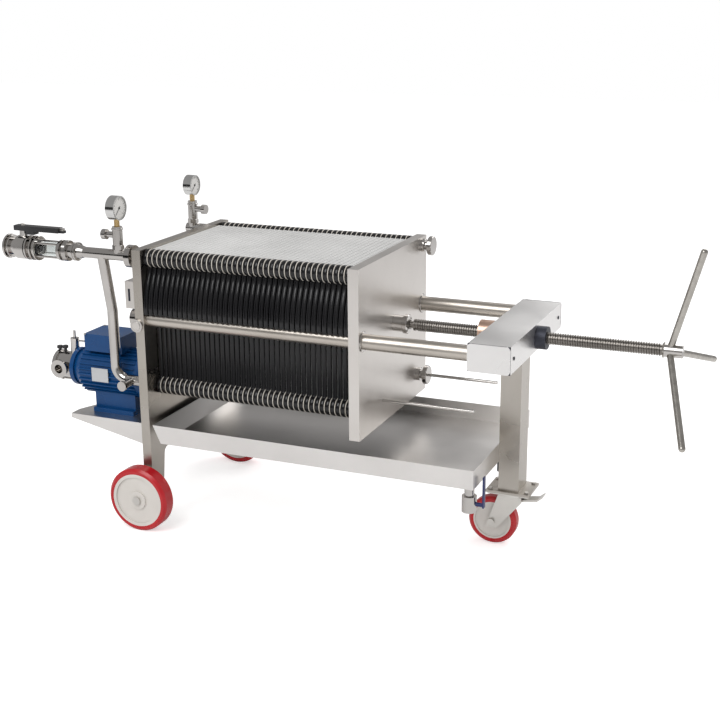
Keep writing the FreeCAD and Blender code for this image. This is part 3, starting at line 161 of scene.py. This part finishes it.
def finish(name, dark, light, metallic, smooth, rough, colour_by="Clouds", relief_by="Specks",
           relief=0.02, grain=(1, 1, 1)):
    """A material between two colours and two roughnesses, marked as the real surface is. grain
    stretches the marks along one axis, as grinding does."""
    material = bpy.data.materials.new(name)
    material.use_nodes = True
    tree = material.node_tree
    surface = tree.nodes["Principled BSDF"]
    place = tree.nodes.new("ShaderNodeTexCoord")
    marks = tree.nodes.new("ShaderNodeGroup")
    marks.node_tree = surface_marks
    marks.inputs["Grain"].default_value = grain
    tree.links.new(place.outputs["Object"], marks.inputs["Place"])
    blend = tree.nodes.new("ShaderNodeMix")
    blend.data_type = "RGBA"
    blend.inputs["A"].default_value = (*dark, 1)
    blend.inputs["B"].default_value = (*light, 1)
    tree.links.new(marks.outputs[colour_by], blend.inputs["Factor"])
    tree.links.new(blend.outputs["Result"], surface.inputs["Base Color"])
    sheen = tree.nodes.new("ShaderNodeMapRange")
    sheen.inputs["To Min"].default_value = smooth
    sheen.inputs["To Max"].default_value = rough
    tree.links.new(marks.outputs["Clouds"], sheen.inputs["Value"])
    tree.links.new(sheen.outputs["Result"], surface.inputs["Roughness"])
    surface.inputs["Metallic"].default_value = metallic
    if relief:
        bump = tree.nodes.new("ShaderNodeBump")
        bump.inputs["Strength"].default_value = relief
        bump.inputs["Distance"].default_value = 0.0004
        tree.links.new(marks.outputs[relief_by], bump.inputs["Height"])
        tree.links.new(bump.outputs["Normal"], surface.inputs["Normal"])
    return material


def dress(material, *names):
    """Gives whole pieces of the machine their material."""
    for name in names:
        nodes[name].data.materials.clear()
        nodes[name].data.materials.append(material)


satin_dull = finish("satin_dull", (0.40, 0.37, 0.33), (0.52, 0.49, 0.45), 1, 0.24, 0.36,
                    relief_by="Lines", relief=0.08, grain=(1, 1, 0.02))
dress(satin_dull, "head_plate")

# Rails and the box beam that ties them. The rails are polished tube with a round washer on the
# side of each end; the beam is folded sheet, ground lengthwise, with a cover let in at each end
# along a dark seam and a socket screw beside it.
UP, ACROSS, ALONG = (1, 1, 0.02), (1, 0.02, 1), (0.02, 1, 1)
RAIL_Y, RAIL_Z = 0.2015, 0.5515
NEAR_WASHER = [(0, 0), (0, 0.0106), (-0.0010, 0.0112), (-0.0016, 0.0106), (-0.0016, 0)]
FAR_WASHER = [(0, 0), (0, 0.0105), (0.0010, 0.0112), (0.0016, 0.0106), (0.0016, 0)]
SOCKET_SCREW = [(0, 0), (0, 0.0046), (0.0012, 0.0046), (0.0018, 0.0040), (0.0018, 0.0022),
                (0.0006, 0.0018), (0.0006, 0)]
BEAM_BACK, BEAM_SEAM, SEAM_WIDTH = 0.4949, 0.2228, 0.0010
# Painted highlight: this stainless is made lighter than the plates' stainless to paint in the bright sheen on the
# beam's top.
satin_across_painted_sheen = finish("satin_across_painted_sheen", (0.76, 0.75, 0.74), (0.86, 0.85, 0.84), 1, 0.26, 0.36,
                      relief_by="Lines", relief=0.10, grain=ACROSS)
rail_polish = finish("rail_polish", (0.50, 0.46, 0.41), (0.60, 0.56, 0.51), 1, 0.30, 0.38,
                     relief_by="Lines", relief=0.04, grain=ALONG)
polished = finish("polished", (0.46, 0.44, 0.42), (0.58, 0.56, 0.54), 1, 0.06, 0.14)
dress(rail_polish, "near_rail", "far_rail")
dress(polished, "rail_end_fittings")
dress(satin_across_painted_sheen, "crossbeam", "beam_end_caps")


def turned(shape, profile, place, axis="X", steps=32, closed=False, climb=0):
    """Spins a profile of (along, radius) points about an axis through a place. closed joins its
    last point to its first, and climb is how far a thread rises in one turn."""
    before = set(shape.verts)
    row = [shape.verts.new((along, radius, 0)) for along, radius in profile]
    pairs = list(zip(row, row[1:])) + ([(row[-1], row[0])] if closed else [])
    edges = [shape.edges.new(pair) for pair in pairs]
    bmesh.ops.spin(shape, geom=row + edges, cent=(0, 0, 0), axis=(1, 0, 0), dvec=(climb / steps, 0, 0),
                   angle=math.tau, steps=steps, use_merge=not climb, use_duplicate=False)
    bmesh.ops.remove_doubles(shape, verts=[v for v in shape.verts if v not in before], dist=1e-6)
    turn = {
        "X": Matrix(),
        "Y": Matrix.Rotation(math.pi / 2, 4, "Z"),
        "Z": Matrix.Rotation(-math.pi / 2, 4, "Y"),
    }[axis]
    bmesh.ops.transform(shape, matrix=Matrix.Translation(place) @ turn,
                        verts=[v for v in shape.verts if v not in before])


def keep(name, shape, material, body, replaced=(), sharp=35):
    """Makes a finished shape a piece of the machine that rides on a body."""
    bmesh.ops.recalc_face_normals(shape, faces=shape.faces)
    data = bpy.data.meshes.new(name)
    shape.to_mesh(data)
    shape.free()
    data.shade_smooth()
    data.set_sharp_from_angle(angle=math.radians(sharp))
    data.materials.append(material)
    piece = bpy.data.objects.new(name, data)
    bpy.context.scene.collection.objects.link(piece)
    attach(piece, body)
    if replaced:
        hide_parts(*replaced)
    return piece


satin_upright = finish("satin_upright", (0.63, 0.60, 0.57), (0.74, 0.71, 0.68), 1, 0.26, 0.38,
                       relief_by="Lines", relief=0.10, grain=UP)
washers = bmesh.new()
for profile, y in ((NEAR_WASHER, -0.2324), (FAR_WASHER, 0.2324)):
    turned(washers, profile, (-0.484, y, 0.5375), "Y")
keep("rail_end_washers", washers, satin_upright, "frame")

dark_steel = finish("dark_steel", (0.020, 0.022, 0.032), (0.055, 0.058, 0.075), 0.7, 0.34, 0.50)
beam_screws = bmesh.new()
for y in (-0.196, 0.196):
    turned(beam_screws, SOCKET_SCREW, (BEAM_BACK, y, 0.5485), "X", 16)
keep("beam_screws", beam_screws, dark_steel, "frame")


def block(shape, low, high, rounding=0.0006, segments=1):
    """A block between two corners with rounded edges, and returns its vertices."""
    before = set(shape.verts)
    corners = bmesh.ops.create_cube(shape, size=1)["verts"]
    span = Vector(high) - Vector(low)
    bmesh.ops.scale(shape, vec=span, verts=corners)
    bmesh.ops.translate(shape, vec=(Vector(low) + Vector(high)) / 2, verts=corners)
    edges = list({edge for corner in corners for edge in corner.link_edges})
    bmesh.ops.bevel(shape, geom=edges, offset=rounding, offset_type="OFFSET", segments=segments, profile=0.5,
                    affect="EDGES", material=-1)
    return [v for v in shape.verts if v not in before]


beam_seams = bmesh.new()
for y in (-BEAM_SEAM, BEAM_SEAM):
    block(beam_seams, (0.3927, y - SEAM_WIDTH / 2, 0.5152), (0.4953, y + SEAM_WIDTH / 2, 0.5818), 0.0002)
keep("beam_seams", beam_seams, dark_steel, "frame")

# Leg under the beam, with its foot plate. A square tube welded to the beam and to a plate, with
# four bolts through the plate into the caster.
zinc = finish("zinc", (0.60, 0.58, 0.55), (0.76, 0.74, 0.70), 1, 0.26, 0.42)
dress(satin_dull, "leg", "foot_plate")
HEX_HEAD = [(0, 0), (0, 0.0062), (0.0038, 0.0062), (0.0046, 0.0054), (0.0046, 0)]
foot_bolts = bmesh.new()
for x in (0.3975, 0.4895):
    for y in (-0.0345, 0.0345):
        turned(foot_bolts, HEX_HEAD, (x, y, 0.1559), "Z", 6)
keep("foot_bolts", foot_bolts, zinc, "frame", sharp=20)

# Wheels. White moulded hubs with a bonded red tread, two on stub axles from the plate's legs and
# one in a zinc-plated swivel fork with a pedal brake.
hub_plastic = finish("hub_plastic", (0.62, 0.59, 0.55), (0.74, 0.71, 0.67), 0, 0.30, 0.44, relief=0.01)
tread_rubber = finish("tread_rubber", (0.42, 0.006, 0.012), (0.54, 0.014, 0.020), 0, 0.20, 0.34, relief=0.01)
dress(zinc, "rear_axles", "caster_plate", "caster_fork", "fork_pins", "brake_pedal")
dress(hub_plastic, "near_wheel_hub", "far_wheel_hub", "caster_hub")
dress(tread_rubber, "near_wheel_tread", "far_wheel_tread", "caster_tread")

# Drip tray and what carries it. Thin folded sheet with a lengthwise grain, open to the top, on
# two dark brackets.
# Painted light: this stainless is made lighter than the plates' stainless to lift the shade that falls on the tray
# floor. The pump shelf shares it.
satin_lengthwise_painted_light = finish("satin_lengthwise_painted_light", (0.70, 0.68, 0.66), (0.82, 0.80, 0.78), 1, 0.28, 0.40,
                          relief_by="Lines", relief=0.10, grain=ALONG)
dress(satin_lengthwise_painted_light, "drip_tray", "pump_shelf")
dress(dark_steel, "tray_brackets")

# Filter pack. Forty moulded black plates hang on the rails by hooked lugs, with round ears at the four corners and a
# pale gasket between each pair of ears. Pale strips on the plates' tops are a painted reflection of the overhead light
# on the glossy black tops.
PACK_START, PITCH, PLATE, PLATES = -0.463, 0.0141, 0.0125, 40
TOP_EAR, LOW_EAR, EAR = (0.196, 0.7085), (0.166, 0.367), 0.023
GASKET, GASKET_ROUND = 0.0219, 0.0012
STRIP_STARTS, STRIP, STRIP_END = (0.0006, 0.0070), 0.0050, 0.173


def arc(centre, radius, start, end, count):
    """Points on a circle's arc, as (out, up), with angles in degrees from straight out."""
    return [(centre[0] + radius * math.cos(math.radians(start + (end - start) * i / count)),
             centre[1] + radius * math.sin(math.radians(start + (end - start) * i / count))) for i in range(count + 1)]


half = ([(0, 0.724)] + arc(TOP_EAR, EAR, 137, -62, 12)
        + [(0.2000, 0.6830), (0.2010, 0.6760), (0.2060, 0.6640), (0.2130, 0.6480), (0.2200, 0.6280),
           (0.2255, 0.6060), (0.2285, 0.5860), (0.2288, 0.5740), (0.2265, 0.5675), (0.2160, 0.5660)]
        + arc((RAIL_Y, RAIL_Z), 0.0194, 46, 134, 6)
        + [(0.1800, 0.5600), (0.1740, 0.5480), (0.1720, 0.5300), (0.1720, 0.3920)]
        + arc(LOW_EAR, EAR, 70, -107, 11) + [(0, 0.345)])
outline = half + [(-out, up) for out, up in reversed(half) if out > 0]
pack = bmesh.new()
face = pack.faces.new([pack.verts.new((PACK_START, out, up)) for out, up in outline])
grown = bmesh.ops.extrude_face_region(pack, geom=[face])
bmesh.ops.translate(pack, vec=(PLATE, 0, 0),
                    verts=[v for v in grown["geom"] if isinstance(v, bmesh.types.BMVert)])
rims = [edge for edge in pack.edges if abs(edge.verts[0].co.x - edge.verts[1].co.x) < 1e-6]
bmesh.ops.bevel(pack, geom=rims, offset=0.0042, offset_type="OFFSET", segments=3, profile=0.5,
                affect="EDGES", clamp_overlap=False, material=-1)


def repeated(shape, count, step):
    """Copies all that is in the shape so far, one step apart, until there are count of it."""
    geom = shape.verts[:] + shape.edges[:] + shape.faces[:]
    for i in range(1, count):
        copy = bmesh.ops.duplicate(shape, geom=geom)
        bmesh.ops.translate(shape, vec=Vector(step) * i,
                            verts=[v for v in copy["geom"] if isinstance(v, bmesh.types.BMVert)])


repeated(pack, PLATES, (PITCH, 0, 0))
plate_plastic = finish("plate_plastic", (0.003, 0.003, 0.004), (0.008, 0.008, 0.009), 0, 0.12, 0.22)
plate_plastic.node_tree.nodes["Principled BSDF"].inputs["Specular IOR Level"].default_value = 0.4
sheet_fibre = finish("sheet_fibre", (0.52, 0.52, 0.51), (0.66, 0.66, 0.65), 0, 0.35, 0.55,
                     relief=0.15)
keep("plate_pack", pack, plate_plastic, "frame", ("filter_plates",), 30)
dress(sheet_fibre, "filter_sheets")

gaskets = bmesh.new()
ring = [(GASKET_ROUND * math.cos(math.tau * i / 6), GASKET + GASKET_ROUND * math.sin(math.tau * i / 6))
        for i in range(6)]
for out, up in (TOP_EAR, LOW_EAR):
    for side in (-1, 1):
        turned(gaskets, ring, (PACK_START + PITCH - 0.0008, side * out, up), "X", 28, closed=True)
repeated(gaskets, PLATES - 1, (PITCH, 0, 0))
gasket_rubber = finish("gasket_rubber", (0.56, 0.52, 0.46), (0.68, 0.64, 0.58), 0, 0.40, 0.55)
keep("ear_gaskets", gaskets, gasket_rubber, "frame")


# Painted reflection: two pale strips in the filter sheets' material lie on each plate's top. They stand in for the
# overhead light that the glossy black tops reflect.
strips = bmesh.new()
for start in STRIP_STARTS:
    block(strips, (PACK_START + start, -STRIP_END, 0.7215),
          (PACK_START + start + STRIP, STRIP_END, 0.7262), 0.0008)
repeated(strips, PLATES, (PITCH, 0, 0))
keep("plate_top_reflections", strips, sheet_fibre, "frame")

# Moving plate, which slides on two bushes and is pushed by the screw through a hub. Ground
# stainless with polished turned fittings: port caps and the two thin rods.
PLATE_FRONT, PLATE_BACK = 0.0997, 0.1267
BUSH = [(0, 0.0191), (0, 0.0258), (0.0272, 0.0258), (0.0272, 0.0246), (0.0292, 0.0246),
        (0.0298, 0.0238), (0.0298, 0.0191)]
HUB = [(0, 0.0124), (0, 0.0205), (0.0270, 0.0205), (0.0275, 0.0235), (0.0285, 0.0245),
       (0.0385, 0.0245), (0.0400, 0.0230), (0.0400, 0.0124)]
PORT_CAP = [(0, 0), (0, 0.0175), (0.0095, 0.0175), (0.0105, 0.0165), (0.0105, 0.0120), (0.0195, 0.0120),
            (0.0200, 0.0235), (0.0215, 0.0250), (0.0305, 0.0250), (0.0320, 0.0235), (0.0320, 0)]
HUB_BOLT = [(0, 0), (0, 0.0032), (0.0014, 0.0032), (0.0020, 0.0026), (0.0020, 0)]
HUB_BOLT_RING, HUB_END = 0.0185, 0.1664
SCREW_Z = 0.548
dress(satin_upright, "moving_plate")
dress(polished, "pull_rods")
bushes = bmesh.new()
for out in (-RAIL_Y, RAIL_Y):
    turned(bushes, BUSH, (PLATE_FRONT, out, RAIL_Z), "X", 40, closed=True)
keep("bushes", bushes, polished, "plate_carriage", ("rail_bushes",))
hub = bmesh.new()
turned(hub, HUB, (PLATE_BACK, 0, SCREW_Z), "X", 40, closed=True)
keep("screw_hub", hub, polished, "plate_carriage", ("thrust_hub",))
caps = bmesh.new()
for out, up in (TOP_EAR, LOW_EAR):
    turned(caps, PORT_CAP, (PLATE_BACK, out, up), "X", 36)
keep("port_plugs", caps, polished, "plate_carriage", ("port_caps",))
hub_bolts = bmesh.new()
for i in range(4):
    angle = math.radians(45 + 90 * i)
    turned(hub_bolts, HUB_BOLT, (HUB_END, HUB_BOLT_RING * math.cos(angle),
                                 SCREW_Z + HUB_BOLT_RING * math.sin(angle)), "X", 6)
keep("hub_bolts", hub_bolts, zinc, "plate_carriage", sharp=20)

# Screw, nut, collar and handle. A 30 mm rolled screw of 6 mm pitch turns in a bronze nut let into
# the beam; a dark collar covers the far side, and three bent rods are welded to the hub.
CORE = [(0.139, 0), (0.139, 0.0118), (0.1695, 0.0118), (0.1705, 0.0085), (0.1795, 0.0085),
        (0.1810, 0.0146), (0.1858, 0.0146), (0.1862, 0.0124), (0.794, 0.0124), (0.794, 0)]
WELD = [(0, 0.0160), (0.0008, 0.0182), (0.0022, 0.0190), (0.0036, 0.0180), (0.0044, 0.0160)]
THREAD_START, THREAD_END, LEAD = 0.186, 0.7925, 0.006
screw = bmesh.new()
turned(screw, CORE, (0, 0, SCREW_Z), "X", 28)
teeth = []
for i in range(int((THREAD_END - THREAD_START) / LEAD) - 1):
    x = THREAD_START + i * LEAD
    teeth += [(x, 0.0123), (x + 0.0012, 0.0123), (x + 0.0026, 0.0149), (x + 0.0044, 0.0149),
              (x + 0.0058, 0.0125)]
turned(screw, teeth, (0, 0, SCREW_Z), "X", 24, climb=LEAD)
screw_steel = finish("screw_steel", (0.17, 0.16, 0.145), (0.28, 0.26, 0.24), 1, 0.20, 0.32)
keep("threaded_screw", screw, screw_steel, "screw", ("press_screw",), 40)
bronze = finish("bronze", (0.56, 0.38, 0.29), (0.70, 0.50, 0.40), 1, 0.28, 0.42)
dress(bronze, "bronze_nut")
dress(dark_steel, "screw_collar")
dress(polished, "handle_hub")
arm_steel = finish("arm_steel", (0.40, 0.38, 0.35), (0.52, 0.50, 0.46), 1, 0.20, 0.30, "Bands")
dress(arm_steel, "handle_arms")
welds = bmesh.new()
turned(welds, WELD, (0.7935, 0, SCREW_Z), "X", 32)
keep("handle_weld", welds, arm_steel, "screw")

# Motor on the pump shelf. A blue painted cast motor with cooling fins, its foot, covers and
# terminal box; a bare plate is riveted to the near side, and the box has four cover screws.
RIVET = [(0, 0), (0, 0.0013), (-0.0007, 0.0009), (-0.0007, 0)]
PAN_HEAD = [(0, 0), (0, 0.0036), (0.0020, 0.0034), (0.0026, 0.0026), (0.0026, 0)]
motor_paint = finish("motor_paint", (0.002, 0.044, 0.155), (0.003, 0.062, 0.205), 0, 0.22, 0.36,
                     relief=0.06)
motor_paint.node_tree.nodes["Principled BSDF"].inputs["Specular IOR Level"].default_value = 0.35
dress(motor_paint, "motor_body", "motor_foot", "motor_end_covers", "terminal_box")
plate_tin = finish("plate_tin", (0.46, 0.47, 0.48), (0.60, 0.61, 0.62), 0.4, 0.36, 0.48)
name_plate = bmesh.new()
block(name_plate, (-0.690, -0.1474, 0.343), (-0.638, -0.1455, 0.381), 0.0005)
for x in (-0.687, -0.641):
    for z in (0.346, 0.378):
        turned(name_plate, RIVET, (x, -0.1473, z), "Y", 10)
keep("bare_plate", name_plate, plate_tin, "frame")
box_screws = bmesh.new()
for x in (-0.712, -0.610):
    for y in (-0.135, -0.039):
        turned(box_screws, PAN_HEAD, (x, y, 0.4678), "Z", 14)
keep("box_screws", box_screws, zinc, "frame")

# Pump and relief valve. A polished cast body with clamp ferrules at its two ports; nuts ring the
# cover, a tie bar runs below, a thin tube leads to the terminal box and black knobs stand on top.
PUMP_Y, PUMP_Z, NUT_RING = -0.080, 0.359, 0.0325
COVER_NUT = [(0, 0), (0, 0.0044), (-0.0040, 0.0044), (-0.0046, 0.0036), (-0.0046, 0.0024),
             (-0.0070, 0.0022), (-0.0070, 0)]
TIE_BAR = [(0, 0), (0, 0.0052), (0.0060, 0.0052), (0.0060, 0.0030), (0.0450, 0.0030), (0.0450, 0.0052),
           (0.0510, 0.0052), (0.0510, 0)]
THIN_TUBE = [(0, 0), (0, 0.0024), (0.0640, 0.0024), (0.0640, 0)]
KNOB = [(-0.0060, 0), (-0.0060, 0.0040), (0.0020, 0.0040), (0.0024, 0.0075), (0.0032, 0.0082),
        (0.0090, 0.0082), (0.0100, 0.0070), (0.0100, 0)]
dress(polished, "pump_housing", "relief_valve")
lever_plastic = finish("lever_plastic", (0.012, 0.012, 0.013), (0.030, 0.030, 0.032), 0, 0.32, 0.48,
                       relief=0.05)
pump_nuts = bmesh.new()
for i in range(6):
    angle = math.radians(30 + 60 * i)
    turned(pump_nuts, COVER_NUT, (-0.8292, PUMP_Y + NUT_RING * math.cos(angle),
                                  PUMP_Z + NUT_RING * math.sin(angle)), "X", 6)
keep("pump_nuts", pump_nuts, zinc, "frame", sharp=20)

pump_rods = bmesh.new()
turned(pump_rods, TIE_BAR, (-0.8370, PUMP_Y, 0.3175), "X", 12)
turned(pump_rods, THIN_TUBE, (-0.7820, PUMP_Y, 0.4300), "X", 12)
keep("pump_rods", pump_rods, polished, "frame")
pump_knobs = bmesh.new()
for x, z in ((-0.8360, 0.4000), (-0.8180, 0.4020)):
    turned(pump_knobs, KNOB, (x, PUMP_Y, z), "Z", 20)
keep("pump_knobs", pump_knobs, lever_plastic, "frame")

# Outlet line. Polished tube, clamp and screwed union, a glass tube between four tie rods, then a
# butterfly valve with a black sprung lever and a dark seal at each end of the glass.
OUTLET_LINE = (-0.196, 0.7085)
UNION = [(0, 0.0125), (0, 0.0262), (0.0012, 0.0270), (0.0080, 0.0270), (0.0090, 0.0262), (0.0090, 0.0200),
         (0.0150, 0.0200), (0.0150, 0.0256), (0.0170, 0.0270), (0.0185, 0.0262), (0.0200, 0.0270),
         (0.0215, 0.0262), (0.0230, 0.0270), (0.0245, 0.0262), (0.0260, 0.0270), (0.0280, 0.0256),
         (0.0280, 0.0190), (0.0400, 0.0180), (0.0440, 0.0240), (0.0480, 0.0240), (0.0490, 0.0222),
         (0.0500, 0.0240), (0.0540, 0.0240), (0.0560, 0.0180), (0.0690, 0.0160), (0.0730, 0.0142),
         (0.0730, 0.0125)]
SEAL = [(0, 0.0192), (0.0004, 0.0202), (0.0041, 0.0202), (0.0045, 0.0192)]
RIM_ROOT, RIM_ROUND = 0.0215, 0.0008
glass = finish("glass", (0.88, 0.92, 0.91), (0.96, 0.98, 0.97), 0, 0.01, 0.04, relief=0)
glass.node_tree.nodes["Principled BSDF"].inputs["Transmission Weight"].default_value = 1
dress(polished, "outlet_pipe", "outlet_clamp", "sight_tie_rods", "valve_body", "valve_disc",
      "riser_pipe", "inlet_stub")
dress(glass, "sight_glass")
dress(lever_plastic, "valve_lever")
union = bmesh.new()
turned(union, UNION, (-0.722, *OUTLET_LINE), "X", 40, closed=True)
keep("union", union, polished, "frame", ("sight_union",))
rims = bmesh.new()
for x, radius, width in (
        (-0.8860, 0.0322, 0.0055),
        (-0.8740, 0.0300, 0.0030),
        (-0.8190, 0.0322, 0.0045),
        (-0.8040, 0.0322, 0.0035),
        (-0.7925, 0.0318, 0.0050)):
    turned(rims, [(0, RIM_ROOT), (0, radius - RIM_ROUND), (RIM_ROUND, radius), (width - RIM_ROUND, radius),
                  (width, radius - RIM_ROUND), (width, RIM_ROOT)], (x, *OUTLET_LINE), "X", 40, closed=True)
keep("valve_rims", rims, polished, "frame")
seals = bmesh.new()
for x in (-0.7870, -0.7265):
    turned(seals, SEAL, (x, *OUTLET_LINE), "X", 32)
keep("glass_seals", seals, lever_plastic, "frame")
lever_tip = bmesh.new()
block(lever_tip, (-0.722, -0.2005, 0.7565), (-0.7085, -0.1915, 0.7664), 0.0012, 2)
keep("lever_tip", lever_tip, zinc, "outlet_lever")
lever_bolt = bmesh.new()
turned(lever_bolt, HEX_HEAD, (-0.837, -0.196, 0.7664), "Z", 6)
keep("lever_bolt", lever_bolt, zinc, "outlet_lever", sharp=20)

# Gauges. Chrome cases on brass stems and steel cross pieces with polished tap knobs. The white dials have a plain
# scale of ticks and a black needle at rest, and no lettering.
DIAL_Z, TICKS = 0.829, 21
TEE_NUT = [(0, 0.0105), (0, 0.0150), (0.0105, 0.0150), (0.0115, 0.0140), (0.0115, 0.0105)]
TEE_RING = [(0, 0.0070), (0, 0.0140), (0.0008, 0.0146), (0.0042, 0.0146), (0.0050, 0.0138), (0.0050, 0.0070)]
brass = finish("brass", (0.52, 0.36, 0.16), (0.66, 0.48, 0.24), 1, 0.20, 0.32)
chrome = finish("chrome", (0.55, 0.55, 0.54), (0.68, 0.68, 0.67), 1, 0.05, 0.12)
dress(polished, "gauge_blocks")
dress(brass, "gauge_stems")
dress(chrome, "gauge_cases")
dress(polished, "near_tap_knob", "far_tap_knob")
tee_nuts = bmesh.new()
for x, y in ((-0.547, -0.196), (-0.557, 0.196)):
    turned(tee_nuts, TEE_NUT, (x, y, 0.7235), "Z", 6, closed=True)
    turned(tee_nuts, TEE_RING, (x, y, 0.7735), "Z", 32, closed=True)
keep("tee_nuts", tee_nuts, polished, "frame", sharp=20)
dial_white = finish("dial_white", (0.74, 0.73, 0.70), (0.82, 0.81, 0.79), 0, 0.35, 0.45)
for name, x, y, radius in (("near", -0.5380, -0.196, 0.0276), ("far", -0.5480, 0.196, 0.0246)):
    dial = bmesh.new()
    turned(dial, [(-0.0002, 0), (-0.0002, radius), (0.0005, radius), (0.0006, radius - 0.0003), (0.0006, 0)],
           (x, y, DIAL_Z), "X", 40)
    keep(name + "_dial", dial, dial_white, "frame")
    marks = bmesh.new()
    centre = Matrix.Translation((0, y, DIAL_Z))
    for i in range(TICKS):
        half_width, inner = (0.0003, 0.80) if i % 5 else (0.0006, 0.72)
        tick = block(marks, (x + 0.0004, -half_width, radius * inner),
                     (x + 0.0008, half_width, radius * 0.93), 0.0001)
        bmesh.ops.transform(marks, matrix=centre @ Matrix.Rotation(math.radians(135 - 13.5 * i), 4, "X"),
                            verts=tick)
    needle = block(marks, (x + 0.0010, -0.0007, -radius * 0.22), (x + 0.0015, 0.0007, radius * 0.74), 0.0002)
    bmesh.ops.transform(marks, matrix=centre @ Matrix.Rotation(math.radians(133), 4, "X"), verts=needle)
    turned(marks, [(0.0005, 0), (0.0005, 0.0032), (0.0020, 0.0028), (0.0020, 0)], (x, y, DIAL_Z), "X", 18)
    keep(name + "_dial_marks", marks, lever_plastic, "frame")

# Switch box on the fixed plate's outer face. A small plain box with a dark slot in its end.
dress(satin_upright, "switch_box")
slot_strip = bmesh.new()
block(slot_strip, (-0.5045, -0.2291, 0.600), (-0.4985, -0.2280, 0.632), 0.0004)
keep("switch_slot", slot_strip, dark_steel, "frame")

# Drain valve under the tray. A small polished ball valve with a dark blue coated lever.
drain_coat = finish("drain_coat", (0.012, 0.022, 0.10), (0.022, 0.036, 0.16), 0, 0.30, 0.44)
dress(polished, "drain_valve")
dress(drain_coat, "drain_lever")
